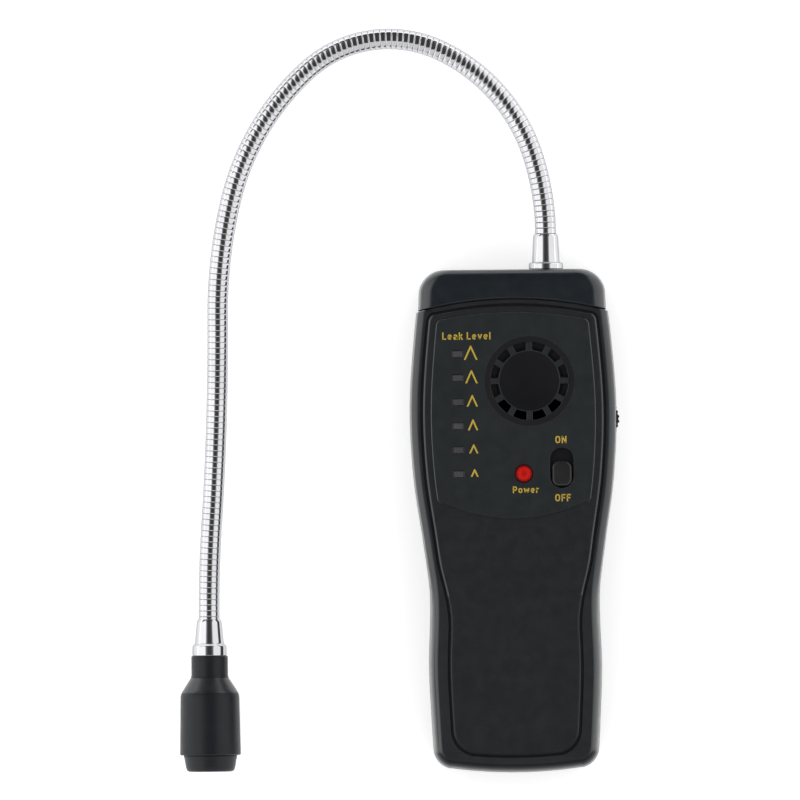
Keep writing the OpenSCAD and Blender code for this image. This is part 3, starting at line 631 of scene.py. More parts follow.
def back_shell():
    """Back half of the housing with the battery bay, the door's rails and the screw holes."""
    piece = loft("back_shell_skin", back_rings(False))
    half = DOOR_W / 2
    slide = half + DOOR_GAP
    rail = half + TONGUE_W + RAIL_WALL
    bay = half + BAY_WALL
    low = WALL / 2
    front = BAY_Y0 - BAY_WALL
    stop = DOOR_TOP + DOOR_GAP
    roof = BAY_Z0 + DOOR_GAP
    shelf = BAY_Z0 - TONGUE_T - DOOR_GAP
    reach = slide + TONGUE_W
    open_y = Y_BOT - LAP
    combine(piece, block("rails", rail, front, DOOR_TOP + RAIL_WALL, low, BAY_Z0 + RAIL_T), "UNION")
    combine(piece, block("bay", bay, front, BAY_Y1 + BAY_WALL, low, BAY_Z1 + BAY_WALL), "UNION")
    cut(piece, block("bay space", half, BAY_Y0, BAY_Y1, -LAP, BAY_Z1))
    cut(piece, block("door space", slide, open_y, stop, -LAP, roof))
    cut(piece, block("tongue space", reach, open_y, stop, shelf, roof))
    cut(piece, screw_holes())
    join_cap(piece, 0.0, PART_Z - LIP_GAP)
    weld(piece)
    return finish_skin(piece)


def battery_door():
    """Sliding door cut from the same rounded back, with side tongues and thumb grooves near its end."""
    piece = loft("battery_door_skin", back_rings(True))
    half = DOOR_W / 2
    reach = half + TONGUE_W
    open_y = Y_BOT - LAP
    keep = block("door", half, open_y, DOOR_TOP, DOOR_IN, BAY_Z0)
    combine(keep, block("tongues", reach, open_y, DOOR_TOP, BAY_Z0 - TONGUE_T, BAY_Z0), "UNION")
    combine(piece, keep, "INTERSECT")
    grooves = []
    for k in range(GROOVES):
        y = THUMB_Y + THUMB_STEP * k
        wide = at_z(round_rect(0.0, y, THUMB_W, THUMB_T, THUMB_T / 2 - ROUND_FIT), DOOR_IN)
        narrow = round_rect(0.0, y, THUMB_W - THUMB_T / 2, THUMB_T / 2, THUMB_FLOOR_R)
        rings = [wide - (0.0, 0.0, LAP), wide, at_z(narrow, DOOR_IN + THUMB_D)]
        grooves.append(loft("thumb groove", rings))
    cut(piece, join("thumb grooves", grooves))
    return finish_skin(piece)


def ease_in(radius, depth):
    if depth >= radius:
        return 0.0
    return radius - math.sqrt(radius * radius - (radius - depth) ** 2)


def cap_section():
    """Half section of the cap as height and inset, from the front edge round to the back edge."""
    points = [(CAP_Z - CAP_EDGE_R * inward, DRAFT + CAP_EDGE_R * down) for inward, down in quarter(14)]
    for z in np.linspace(CAP_Z - CAP_EDGE_R, BACK_R, 10)[1:-1]:
        share = max(z - PART_Z, 0.0) / (CAP_Z - CAP_EDGE_R - PART_Z)
        points.append((z, DRAFT * share))
    return points + [(BACK_R * down, BACK_R * inward) for inward, down in quarter(14)]


CAP_SECTION = cap_section()


def cap_ring(y, narrow, thin, arch):
    """Ring of the cap, set in across and through; arch bends it along the seam."""
    mid = CAP_Z / 2
    right = []
    for z, inset in CAP_SECTION:
        x = half_w(y) - inset - narrow
        right.append((x, y - arch * BULGE_SEAM * x * x, mid + (z - mid) * (1 - thin / mid)))

    def across(edge, crown):
        line = []
        for t in np.linspace(-1.0, 1.0, 24)[1:-1]:
            x = edge[0] * t
            line.append((x, y - arch * BULGE_SEAM * x ** 2, edge[2] + crown * cos(t * pi / 2)))
        return line

    top = across(right[0], CROWN_FRONT)
    base = across(right[-1], CROWN_BACK)
    left = [(-x, yy, z) for x, yy, z in right[::-1]]
    return np.array(right + base[::-1] + left + top)


def arm_hole(name, r, y0, y1):
    """Round cutter on the gooseneck's line where it enters the housing."""
    return loft(name, [axis_ring(ARM_X, y, pi / 2, r, 64) for y in (y0, y1)])


def cap_lip(z0, z1):
    """Lip of a shell that the cap slides over, between two heights."""
    deep = WALL + LIP_GAP + LIP_T
    shallow = WALL + LIP_GAP
    low = Y_SEAM - LIP_IN
    high = Y_SEAM + LIP_OUT
    section = ((low, deep), (low, shallow), (high, shallow), (high, deep))
    lip = tube("lip", [cap_ring(y, inset, inset, 1.0) for y, inset in section])
    combine(lip, block("lip part", HEAD_W, 0.0, BODY_L, z0, z1), "INTERSECT")
    return lip


def join_cap(piece, z0, z1):
    """The cap's lip on a shell, and the hole that the sensor's lead goes through."""
    combine(piece, cap_lip(z0, z1), "UNION")
    half = LEAD_HOLE_L / 2
    cut(piece, arm_hole("lead hole", LEAD_HOLE_R, Y_SEAM - half, Y_SEAM + half))


def top_cap():
    """Hollow end cap over the arched seam, rounding off to the flat end that the ferrule stands on."""
    start = Y_SEAM + SEAM_GAP
    inner = CAP_R - WALL
    rings = []
    for inward, down in quarter(8)[::-1]:
        h = inner * down
        rings.append(cap_ring(Y_TOP - WALL - h, WALL + ease_in(inner, h), WALL, 0.0))
    rings.append(cap_ring(start, WALL, WALL, 1.0))
    for inward, down in quarter(6):
        rings.append(cap_ring(start + CAP_BREAK * inward, CAP_BREAK * down, CAP_BREAK * down, 1.0))
    for t in np.linspace(0.15, 1.0, 6):
        y = start + CAP_BREAK + (Y_TOP - CAP_R - start - CAP_BREAK) * t
        rings.append(cap_ring(y, 0.0, 0.0, 1.0 - t))
    for inward, down in quarter(16)[1:]:
        h = CAP_R * down
        rings.append(cap_ring(Y_TOP - h, ease_in(CAP_R, h), ease_in(CAP_TOP_R, h), 0.0))
    piece = loft("top_cap_skin", rings)
    cut(piece, arm_hole("stem hole", STEM_HOLE_R, Y_TOP - WALL - LAP, Y_TOP + LAP))
    return finish_skin(piece, angle=35.0)


def lens(k):
    """One grey lamp window of the leak row, a little domed."""
    y = LAMP_Y - LAMP_STEP * k
    low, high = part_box("sense_led_%d" % (k + 1))
    top = high.z / MM
    base = low.z / MM
    w = LAMP_L - 2 * LAMP_FIT
    h = LAMP_H - 2 * LAMP_FIT

    def outline(g):
        return round_rect(LAMP_X, y, w - 2 * g, h - 2 * g, LENS_CORNER - g + LENS_KEEP)

    foot = at_z(round_rect(LAMP_X, y, w, h, LENS_CORNER), base)
    return finish_skin(loft("lamp_%d_lens" % (k + 1), [foot, *top_edge(outline, LENS_EDGE, top, 5)]))


def axis_ring(x, y, heading, r, steps):
    """Ring of points about a line in the plane of the arm."""
    angles = around(steps)
    off = r * np.cos(angles)
    z = ARM_Z + r * np.sin(angles)
    return np.column_stack([x - off * sin(heading), y + off * cos(heading), z])


def turned(name, profile, x, y, heading):
    """Bored body of revolution along a heading in the plane of the arm, from radii and lengths."""
    c = cos(heading)
    s = sin(heading)
    return tube(name, [axis_ring(x + c * at, y + s * at, heading, r, TURNED_AROUND) for r, at in profile])


def rounded(profile, radius, steps=5):
    """Profile with every corner between its ends rounded."""
    points = [np.array(profile[0])]
    for i in range(1, len(profile) - 1):
        corner = np.array(profile[i])
        before = np.array(profile[i - 1]) - corner
        after = np.array(profile[i + 1]) - corner
        reach = min(radius, CORNER_SHARE * norm(before), CORNER_SHARE * norm(after))
        a = corner + before / norm(before) * reach
        b = corner + after / norm(after) * reach
        for t in np.linspace(0.0, 1.0, steps):
            points.append((1 - t) ** 2 * a + 2 * t * (1 - t) * corner + t * t * b)
    points.append(np.array(profile[-1]))
    return points


def power_lamp():
    """Red dome over its short straight neck."""
    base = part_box("power_led")[0].z / MM
    crown = BODY_T - POWER_SINK
    rings = [at_z(circle(POWER_X, POWER_Y, POWER_R), base)]
    for a in np.linspace(0.0, pi / 2 * DOME_SHARE, 18):
        outline = circle(POWER_X, POWER_Y, POWER_R * cos(a))
        rings.append(at_z(outline, crown + POWER_R * sin(a)))
    return finish_skin(loft("power_lamp_dome", rings), angle=40.0)


def knob_plan(inset):
    return round_rect(SWITCH_X, KNOB_Y, KNOB_W - 2 * inset, KNOB_L - 2 * inset, KNOB_R - inset, 12)


def switch_knob():
    """Sliding knob with rounded corners, a soft top edge and its stem."""
    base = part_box("switch_knob")[0].z / MM
    stem = round_rect(SWITCH_X, KNOB_Y - STEM_BACK, STEM_W, STEM_W, STEM_CORNER, 12)
    rings = [at_z(stem, base), at_z(stem, KNOB_Z0), at_z(knob_plan(0.0), KNOB_Z0)]
    rings += top_edge(knob_plan, KNOB_EDGE, KNOB_Z1, 8)
    return finish_skin(loft("switch_knob_skin", rings))


def wheel_outline(inset):
    points = []
    for a in around(FLUTES * 12):
        step = 2 * pi / FLUTES
        off = (a + step / 2) % step - step / 2
        centre = WHEEL_R + FLUTE_OUT
        r = WHEEL_R
        reach = FLUTE_R ** 2 - (centre * sin(off)) ** 2
        if reach > 0:
            r = min(r, centre * cos(off) - math.sqrt(reach))
        points.append((WHEEL_X + (r - inset) * cos(a), WHEEL_Y + (r - inset) * sin(a)))
    return np.array(points)


def thumbwheel():
    """Fluted wheel with broken edges and the hole for its shaft."""
    rings = low_edge(wheel_outline, WHEEL_EDGE, WHEEL_Z0, 4)
    rings += top_edge(wheel_outline, WHEEL_EDGE, WHEEL_Z1, 4)
    hole = circle(WHEEL_X, WHEEL_Y, SHAFT_HOLE_R, len(rings[0]))
    rings += [at_z(hole, WHEEL_Z1), at_z(hole, WHEEL_Z0)]
    return finish_skin(tube("thumbwheel_skin", rings))


def arm_pose(s):
    """Point and heading on the gooseneck's middle line at a length from its start."""
    x = ARM_X
    y = ARM_Y + min(s, 0.0)
    heading = pi / 2
    left = max(s, 0.0)
    for length, turn in ARM_BENDS:
        step = min(left, length)
        if step < NO_LENGTH:
            break
        bend = math.radians(turn) * step / length
        radius = step / bend
        x += radius * (sin(heading + bend) - sin(heading))
        y -= radius * (cos(heading + bend) - cos(heading))
        heading += bend
        left -= step
    return x + left * cos(heading), y + left * sin(heading), heading


ARM_LENGTH = sum(length for length, turn in ARM_BENDS)

# Half a rib of the gooseneck: share of the pitch, then how far the surface lies under the crest.
RIB_HALF = (
    (0.0, 0.3), (0.02, 0.17), (0.05, 0.1), (0.09, 0.062),
    (0.14, 0.038), (0.2, 0.02), (0.3, 0.005), (0.5, 0.0),
)
RIB_SHAPE = RIB_HALF + tuple((1.0 - share, down) for share, down in RIB_HALF[-2:0:-1])


def neck(name, first, last):
    """Stretch of ribbed and bored tube between two rib grooves."""
    rings = []
    for rib in range(first, last):
        for share, down in RIB_SHAPE:
            rings.append(neck_ring((rib + share) * RIB_PITCH, NECK_R - down))
    rings.append(neck_ring(last * RIB_PITCH, NECK_R - RIB_SHAPE[0][1]))
    rings += [neck_ring(rib * RIB_PITCH, BORE_R) for rib in range(last, first - 1, -1)]
    return finish_skin(tube(name, rings), angle=80.0)


def neck_ring(s, r):
    return axis_ring(*arm_pose(s), r, NECK_AROUND)


def arm_point(s):
    x, y = arm_pose(s)[:2]
    return (x * MM, y * MM, ARM_Z * MM)


# Stretches of the gooseneck: first and last rib, flex point, reach of its bend each way, bodies and nodes.
STRETCHES = (
    (-4, 17, 9.0, 8.4, "housing", "arm_1", ("gooseneck_root", "gooseneck_1")),
    (17, 56, 60.89, 20.0, "arm_1", "arm_2", ("gooseneck_2",)),
    (56, 104, 164.45, 22.0, "arm_2", "arm_3", ("gooseneck_3",)),
    (104, 168, 249.96, 22.0, "arm_3", "arm_4", ("gooseneck_4",)),
)


def gooseneck():
    """Four stretches of ribbed tube that follow the arm's bends and meet in rib grooves between these."""
    for k, (first, last, flex, reach, before, after, nodes) in enumerate(STRETCHES):
        piece = neck("gooseneck_stretch_%d" % (k + 1), first, last)
        dress(piece, MATERIALS["chrome"])
        arm_point(flex - reach)
        arm_point(flex + reach)
        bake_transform(piece)
        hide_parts(*nodes)


# Closed profiles of the turned pieces as radius and length: the outside, then the bore.
BASE_FERRULE = (
    (4.0, 0.0), (6.0, 0.0), (6.0, 2.0), (5.6, 2.4), (4.81, 2.4), (4.36, 11.6), (3.96, 12.4), (3.76, 12.4),
)
BASE_BORE = ((3.76, 4.4), (1.8, 4.4), (1.8, -8.0), (4.0, -8.0))
PROBE_FERRULE = (
    (3.76, 0.0), (3.96, 0.0), (4.36, 0.8), (5.09, 8.6), (5.6, 9.0), (6.0, 9.4), (6.0, 12.8), (4.6, 12.8),
)
PROBE_STUD = ((4.6, 17.8), (1.8, 17.8), (1.8, 8.0), (3.76, 8.0))
PROBE_BODY = (
    (4.65, 12.8), (6.1, 12.8), (6.4, 13.1), (6.4, 20.2), (9.75, 25.4), (10.3, 26.8), (10.65, 47.3),
    (10.35, 47.6), (8.45, 47.6),
)
PROBE_BORE = ((8.45, 26.0), (4.65, 20.8))
PROBE_NOSE = (
    (8.35, 47.6), (9.45, 47.6), (9.05, 49.2), (8.65, 51.8), (8.25, 53.0), (7.45, 53.4), (5.3, 53.4),
    (5.0, 53.1), (5.0, 52.2),
)
NOSE_PLUG = ((6.1, 52.2), (6.1, 38.6), (8.35, 38.6))


def fittings():
    """Both ferrules, the probe's body and its nose, turned with soft edges."""
    foot = (ARM_X, Y_TOP, pi / 2)
    end = arm_pose(ARM_LENGTH)
    rows = (
        ("base_ferrule", BASE_FERRULE, BASE_BORE, foot, "housing", "chrome", 0.35),
        ("probe_ferrule", PROBE_FERRULE, PROBE_STUD, end, "arm_4", "chrome", 0.35),
        ("probe_body", PROBE_BODY, PROBE_BORE, end, "arm_4", "probe_black", 0.9),
        ("probe_nose", PROBE_NOSE, NOSE_PLUG, end, "arm_4", "probe_black", 0.5),
    )
    for node, outside, bore, place, body, slot, soft in rows:
        piece = turned(node + "_skin", [*rounded(outside, soft), *bore], *place)
        finish_skin(piece, angle=40.0)
        stand_in(piece, node, body, slot)
        if node == "probe_body":
            cone_faces(piece)


# Print on the panel: ink thickness, then words with their left end, base line and capital height.
INK_T = 0.03
INK_SINK = 0.02
WORDS = (
    ("ON", 14.55, 27.1, 2.55),
    ("OFF", 14.3, 6.8, 2.55),
    ("Power", -0.45, 9.8, 2.4),
    ("Leak Level", -24.6, 63.6, 2.6),
)
LETTER_GAP = 0.17
SPACE_W = 0.34
PEN = 0.17
CHEVRON_RIGHT = -12.3
CHEVRONS = ((4.83, 4.9), (4.45, 4.55), (4.0, 4.0), (3.64, 3.78), (3.29, 3.15), (2.8, 2.66))
CHEVRON_FOOT = 0.62
CHEVRON_UP = 0.4
CHEVRON_TIP = 0.18
SQUARENESS = 0.75
MITRE_LEAST = 0.5


def bow(x, y, rx, ry, start, end, steps=14):
    """Points of a part of an ellipse, in degrees."""
    angles = np.radians(np.linspace(start, end, steps))
    return [(x + rx * cos(a), y + ry * sin(a)) for a in angles]


def loop(x, y, rx, ry, steps=28):
    """Squarish closed stroke, as in a bold O."""
    points = []
    for a in around(steps):
        c = cos(a)
        d = sin(a)
        c = math.copysign(abs(c) ** SQUARENESS, c)
        d = math.copysign(abs(d) ** SQUARENESS, d)
        points.append((x + rx * c, y + ry * d))
    return points


# Letters on a square of capital height 1: width, closed strokes, open strokes.
STEM = [(0.095, 0.0), (0.095, 1.0)]
LETTERS = {
    "O": (0.70, [loop(0.35, 0.5, 0.255, 0.405)], []),
    "N": (0.68, [], [STEM, [(0.585, 0.0), (0.585, 1.0)], [(0.10, 0.93), (0.58, 0.07)]]),
    "F": (0.56, [], [STEM, [(0.1, 0.905), (0.55, 0.905)], [(0.1, 0.5), (0.49, 0.5)]]),
    "P": (0.64, [], [STEM, [(0.1, 0.905), *bow(0.34, 0.665, 0.205, 0.24, 90, -90), (0.1, 0.425)]]),
    "L": (0.54, [], [STEM, [(0.1, 0.095), (0.53, 0.095)]]),
    "o": (0.60, [loop(0.3, 0.37, 0.205, 0.275)], []),
    "w": (0.86, [], [
        [(0.08, 0.74), (0.24, 0.06)], [(0.24, 0.06), (0.43, 0.68)],
        [(0.43, 0.68), (0.62, 0.06)], [(0.62, 0.06), (0.78, 0.74)],
    ]),
    "e": (0.60, [], [bow(0.3, 0.37, 0.205, 0.275, 0, 318, 24), [(0.1, 0.37), (0.50, 0.37)]]),
    "r": (0.42, [], [[(0.095, 0.0), (0.095, 0.74)], bow(0.36, 0.40, 0.265, 0.245, 180, 80)]),
    "a": (0.57, [loop(0.275, 0.215, 0.18, 0.125)], [[
        (0.475, 0.0), (0.475, 0.45), *bow(0.29, 0.47, 0.185, 0.175, 0, 160),
    ]]),
    "k": (0.56, [], [STEM, [(0.47, 0.74), (0.12, 0.30)], [(0.24, 0.43), (0.50, 0.0)]]),
    "v": (0.60, [], [[(0.08, 0.74), (0.30, 0.06)], [(0.30, 0.06), (0.52, 0.74)]]),
    "l": (0.19, [], [STEM]),
}


def ribbon(name, points, pen, closed):
    """Flat stroke of ink of even width along a line of points."""
    points = np.array(points)
    count = len(points)
    rings = []
    for i in range(count):
        before = points[i] - points[(i - 1) % count if closed else max(i - 1, 0)]
        after = points[(i + 1) % count if closed else min(i + 1, count - 1)] - points[i]
        way = sum(v / norm(v) for v in (before, after) if norm(v) > 0)
        way = way / norm(way)
        last = after if norm(after) > 0 else before
        side = np.array([-way[1], way[0]])
        lean = abs(np.dot(side, (-last[1], last[0]))) / norm(last)
        off = side * pen / 2 / max(lean, MITRE_LEAST)
        low = BODY_T - INK_SINK
        high = BODY_T + INK_T
        a = points[i] + off
        b = points[i] - off
        rings.append(np.array([(*a, low), (*b, low), (*b, high), (*a, high)]))
    return tube(name, rings) if closed else loft(name, rings)


def word(text, x, y, size):
    """One printed word as thin raised ink, set from its left end."""
    strokes = []
    for mark in text:
        if mark == " ":
            x += SPACE_W * size
            continue
        width, loops, lines = LETTERS[mark]
        for points in loops + lines:
            line = np.array(points) * size + (x, y)
            strokes.append(ribbon("stroke", line, PEN * size, points in loops))
        x += (width + LETTER_GAP) * size
    return join("print_" + text.lower().replace(" ", "_"), strokes)


def chevron(k):
    """One printed arrow of the leak row, smaller toward the bottom."""
    w, h = CHEVRONS[k]
    x = CHEVRON_RIGHT - w / 2
    y = LAMP_Y - LAMP_STEP * k + CHEVRON_UP
    tip = CHEVRON_TIP
    apex = -h / 2 + h * (w / 2 - CHEVRON_FOOT) / (w / 2 - tip)
    outline = np.array([
        (-w / 2, -h / 2), (-w / 2 + CHEVRON_FOOT, -h / 2), (0.0, apex), (w / 2 - CHEVRON_FOOT, -h / 2),
        (w / 2, -h / 2), (tip, h / 2), (-tip, h / 2),
    ])
    outline += (x, y)
    return prism("print_arrow_%d" % (k + 1), outline, BODY_T - INK_SINK, BODY_T + INK_T)


def new_material(name):
    material = bpy.data.materials.new(name)
    material.use_nodes = True
    return material, material.node_tree, material.node_tree.nodes["Principled BSDF"]


def set_inputs(node, values):
    """Constants on a node's sockets."""
    for name, value in values.items():
        node.inputs[name].default_value = value


def axes(tree, output):
    """The three parts of a texture coordinate."""
    place = tree.nodes.new("ShaderNodeTexCoord")
    split = tree.nodes.new("ShaderNodeSeparateXYZ")
    tree.links.new(place.outputs[output], split.inputs["Vector"])
    return [split.outputs[axis] for axis in "XYZ"]


def math_node(tree, operation, a, b=None):
    node = tree.nodes.new("ShaderNodeMath")
    node.operation = operation
    for socket, value in zip(node.inputs, (a, b)):
        if isinstance(value, float):
            socket.default_value = value
        elif value is not None:
            tree.links.new(value, socket)
    return node.outputs["Value"]


def times(tree, a, b):
    return math_node(tree, "MULTIPLY", a, b)


def larger(tree, a, b):
    return math_node(tree, "MAXIMUM", a, b)


RANGE_ENDS = ("From Min", "From Max", "To Min", "To Max")


def spread(tree, value, source, target=(0.0, 1.0), curve="LINEAR"):
    """Value brought from one range to another."""
    node = tree.nodes.new("ShaderNodeMapRange")
    node.interpolation_type = curve
    set_inputs(node, dict(zip(RANGE_ENDS, (*source, *target))))
    tree.links.new(value, node.inputs["Value"])
    return node.outputs["Result"]


def soft_step(tree, value, low, high):
    return spread(tree, value, (low, high), curve="SMOOTHSTEP")


# Features per metre of a finish's tone, gloss and grain, the noise's middle span and the grain's depth.
TONE_SCALE = 90.0
GLOSS_SCALE = 260.0
GRAIN_SCALE = 2600.0
NOISE_SPAN = (0.3, 0.7)
GRAIN_DEPTH = 0.03


def noise(tree, scale, detail=3.0):
    """Noise in the object's own coordinates, in features per metre."""
    place = tree.nodes.new("ShaderNodeTexCoord")
    texture = tree.nodes.new("ShaderNodeTexNoise")
    set_inputs(texture, {"Scale": scale, "Detail": detail})
    tree.links.new(place.outputs["Object"], texture.inputs["Vector"])
    return texture.outputs["Fac"]


def mottle(tree, shader, scale, tones):
    """Base colour that wanders between two tones."""
    ramp = tree.nodes.new("ShaderNodeValToRGB")
    for stop, position, tone in zip(ramp.color_ramp.elements, NOISE_SPAN, tones):
        stop.position = position
        stop.color = (*tone, 1.0)
    tree.links.new(noise(tree, scale), ramp.inputs["Fac"])
    tree.links.new(ramp.outputs["Color"], shader.inputs["Base Color"])


def uneven_gloss(tree, shader, scale, rough):
    level = spread(tree, noise(tree, scale), NOISE_SPAN, rough)
    tree.links.new(level, shader.inputs["Roughness"])


def grain(tree, shader, strength):
    bump = tree.nodes.new("ShaderNodeBump")
    set_inputs(bump, {"Strength": strength, "Distance": GRAIN_DEPTH * MM})
    tree.links.new(noise(tree, GRAIN_SCALE, 2.0), bump.inputs["Height"])
    tree.links.new(bump.outputs["Normal"], shader.inputs["Normal"])


def moulded(name, tones, rough, shine=0.5, strength=0.12, metal=0.0):
    """Moulded or machined finish: two close tones, uneven gloss and a fine grain."""
    material, tree, shader = new_material(name)
    mottle(tree, shader, TONE_SCALE, tones)
    uneven_gloss(tree, shader, GLOSS_SCALE, rough)
    grain(tree, shader, strength)
    set_inputs(shader, {"Metallic": metal, "Specular IOR Level": shine})
    return material


END_SHINE = 0.12
END_SPAN = (-0.3, -0.05)


def calm_end(material):
    """Less sheen on surfaces that face the bottom end, where the studio is dark."""
    tree = material.node_tree
    socket = tree.nodes["Principled BSDF"].inputs["Specular IOR Level"]
    along = axes(tree, "Normal")[1]
    level = spread(tree, along, END_SPAN, (END_SHINE, socket.default_value), "SMOOTHSTEP")
    tree.links.new(level, socket)


def chrome():
    """Plated metal, a little uneven in gloss, with a greyer edge at grazing sight."""
    material = moulded("chrome", greys(0.59, 0.64, 1.03), (0.05, 0.10), strength=0.02, metal=1.0)
    shader = material.node_tree.nodes["Principled BSDF"]
    shader.inputs["Specular Tint"].default_value = (0.55, 0.56, 0.58, 1.0)
    return material


# Tones of the red lamp from its middle to its rim, by share of its radius.
LAMP_STOPS = (
    (0.0, (0.25, 0.004, 0.003)), (0.55, (0.44, 0.005, 0.003)),
    (0.78, (0.27, 0.005, 0.003)), (1.0, (0.09, 0.003, 0.003)),
)
LAMP_GLOW = 0.25
LAMP_SHINE = 0.08
LAMP_GLOSS = (0.2, 0.32)
LAMP_GLOSS_SCALE = 700.0


def lamp_red():
    """Red lamp: a lit ring of colour that darkens to the rim and a little to the middle."""
    material, tree, shader = new_material("lamp_red")
    x, y, z = axes(tree, "Object")
    flat = tree.nodes.new("ShaderNodeCombineXYZ")
    tree.links.new(x, flat.inputs["X"])
    tree.links.new(y, flat.inputs["Y"])
    away = tree.nodes.new("ShaderNodeVectorMath")
    away.operation = "DISTANCE"
    away.inputs[1].default_value = (POWER_X * MM, POWER_Y * MM, 0.0)
    tree.links.new(flat.outputs["Vector"], away.inputs[0])
    ramp = tree.nodes.new("ShaderNodeValToRGB")
    stops = ramp.color_ramp.elements
    for position, tone in LAMP_STOPS[1:-1]:
        stops.new(position)
    for stop, (position, tone) in zip(stops, LAMP_STOPS):
        stop.color = (*tone, 1.0)
    share = spread(tree, away.outputs["Value"], (0.0, POWER_R * MM))
    tree.links.new(share, ramp.inputs["Fac"])
    for socket in ("Base Color", "Emission Color"):
        tree.links.new(ramp.outputs["Color"], shader.inputs[socket])
    uneven_gloss(tree, shader, LAMP_GLOSS_SCALE, LAMP_GLOSS)
    set_inputs(shader, {"Emission Strength": LAMP_GLOW, "Specular IOR Level": LAMP_SHINE})
    return material


FLOOR_LIFT = 0.38
FLOOR_SCALE = 3.0


def floor_white():
    """Plain white sweep that keeps the shadow."""
    material, tree, shader = new_material("floor_white")
    mottle(tree, shader, FLOOR_SCALE, greys(0.975, 0.985))
    set_inputs(shader, {"Roughness": 0.9, "Specular IOR Level": 0.0, "Emission Color": (1.0, 1.0, 1.0, 1.0)})
    paths = tree.nodes.new("ShaderNodeLightPath").outputs
    seen = larger(tree, paths["Is Camera Ray"], paths["Is Glossy Ray"])
    seen = larger(tree, seen, paths["Is Transmission Ray"])
    tree.links.new(times(tree, seen, FLOOR_LIFT), shader.inputs["Emission Strength"])
    return material


def greys(low, high, blue=1.0):
    """Two close greys, a little blue where blue is over 1."""
    return [(value, value, value * blue) for value in (low, high)]


GLOSS = (0.28, 0.34)
SATIN = (0.32, 0.40)
MATT = (0.36, 0.44)
DULL = (0.4, 0.5)
HOUSING_TONES = ((0.0075, 0.0096, 0.0121), (0.0091, 0.0112, 0.0139))
PROBE_TONES = ((0.0070, 0.0092, 0.0122), (0.0086, 0.0110, 0.0144))

# Finishes: two tones, range of roughness, then sheen, strength of the grain and metal where they differ.
FINISHES = {
    "housing_black": (HOUSING_TONES, GLOSS, 0.8),
    "panel_black": (((0.0096, 0.0128, 0.0150), (0.0111, 0.0148, 0.0172)), GLOSS, 0.8),
    "grille_black": (greys(0.0056, 0.0070, 1.2), (0.46, 0.56), 0.12),
    # Painted shade: almost no sheen, so the groove, the sunk ring, the recess and the cap's seam stay dark.
    "painted_shade_black": (greys(0.0130, 0.0150, 1.1), (0.6, 0.7), 0.05),
    # Painted shade: less sheen than the housing, which dims the highlight on the face's edge along the grip.
    "edge_painted_shade": (HOUSING_TONES, GLOSS, 0.3),
    "housing_back": (((0.0105, 0.0114, 0.0131), (0.0121, 0.0130, 0.0149)), SATIN),
    "cap_black": (((0.0032, 0.0070, 0.0112), (0.0048, 0.0088, 0.0132)), GLOSS, 0.8),
    "door_black": (((0.0100, 0.0108, 0.0124), (0.0116, 0.0124, 0.0142)), SATIN),
    "knob_black": (greys(0.0078, 0.0098, 1.08), MATT),
    "probe_black": (PROBE_TONES, MATT, 0.28),
    # Painted highlight: more sheen on the probe's cone than on the rest of the probe.
    "cone_painted_highlight": (PROBE_TONES, GLOSS, 0.7),
    "lamp_grey": (greys(0.052, 0.064, 1.05), (0.22, 0.34), 0.5, 0.04),
    "switch_grey": (greys(0.06, 0.08), DULL),
    "speaker_dark": (greys(0.008, 0.014), (0.6, 0.75)),
    "pot_blue": (((0.02, 0.05, 0.16), (0.03, 0.07, 0.20)), DULL),
    "board_green": (((0.012, 0.07, 0.025), (0.018, 0.10, 0.035)), (0.35, 0.5)),
    "cell": (greys(0.12, 0.16), (0.3, 0.4), 0.5, 0.05),
    "contact": (((0.62, 0.58, 0.50), (0.72, 0.68, 0.60)), (0.25, 0.35), 0.5, 0.12, 1.0),
    "steel": (greys(0.42, 0.52), (0.3, 0.4), 0.5, 0.12, 1.0),
    "sensor_can": (greys(0.40, 0.50), (0.3, 0.42), 0.5, 0.12, 1.0),
    "print_yellow": (((0.45, 0.315, 0.018), (0.51, 0.36, 0.024)), (0.45, 0.55)),
}
MATERIALS = {name: moulded(name, *row) for name, row in FINISHES.items()}
MATERIALS["lamp_red"] = lamp_red()
MATERIALS["chrome"] = chrome()
for calm_slot in ("housing_black", "panel_black", "edge_painted_shade", "housing_back", "door_black"):
    calm_end(MATERIALS[calm_slot])


# Finishes of the front shell's faces, in the order of its materials; the last two are painted shade.
FRONT_FINISHES = ("housing_black", "panel_black", "grille_black", "painted_shade_black", "edge_painted_shade")
NEAR_Z = 0.02
DISH_OUT = DISH_R + 0.1
DISH_FLOOR = BODY_T - SINK_D - DISH_DEPTH - 0.05
RING_IN = SINK_R - 0.25
RING_OUT = SINK_R + 1.2 * SINK_SLOPE * SINK_D
RING_LOW = BODY_T - SINK_D + 0.01
RING_HIGH = BODY_T - 0.004
GROOVE_LOW = RIM_Z - GROOVE_D - 0.05
GROOVE_HIGH = RIM_Z - 0.28
EDGE_OUT = GROOVE_W / 2 + FACE_R


def in_recess(x, y, z):
    """Whether a point lies on the floor or the wall of the switch's recess."""
    across = abs(x - SWITCH_X) < RECESS_W / 2
    along = abs(y - SWITCH_Y) < RECESS_L / 2
    return across and along and z > RECESS_Z - 0.1


def fine_line(outline, steps=8):
    """Points close together along a closed outline."""
    ahead = np.roll(outline, -1, axis=0)
    return np.concatenate([outline + (ahead - outline) * k / steps for k in range(steps)])


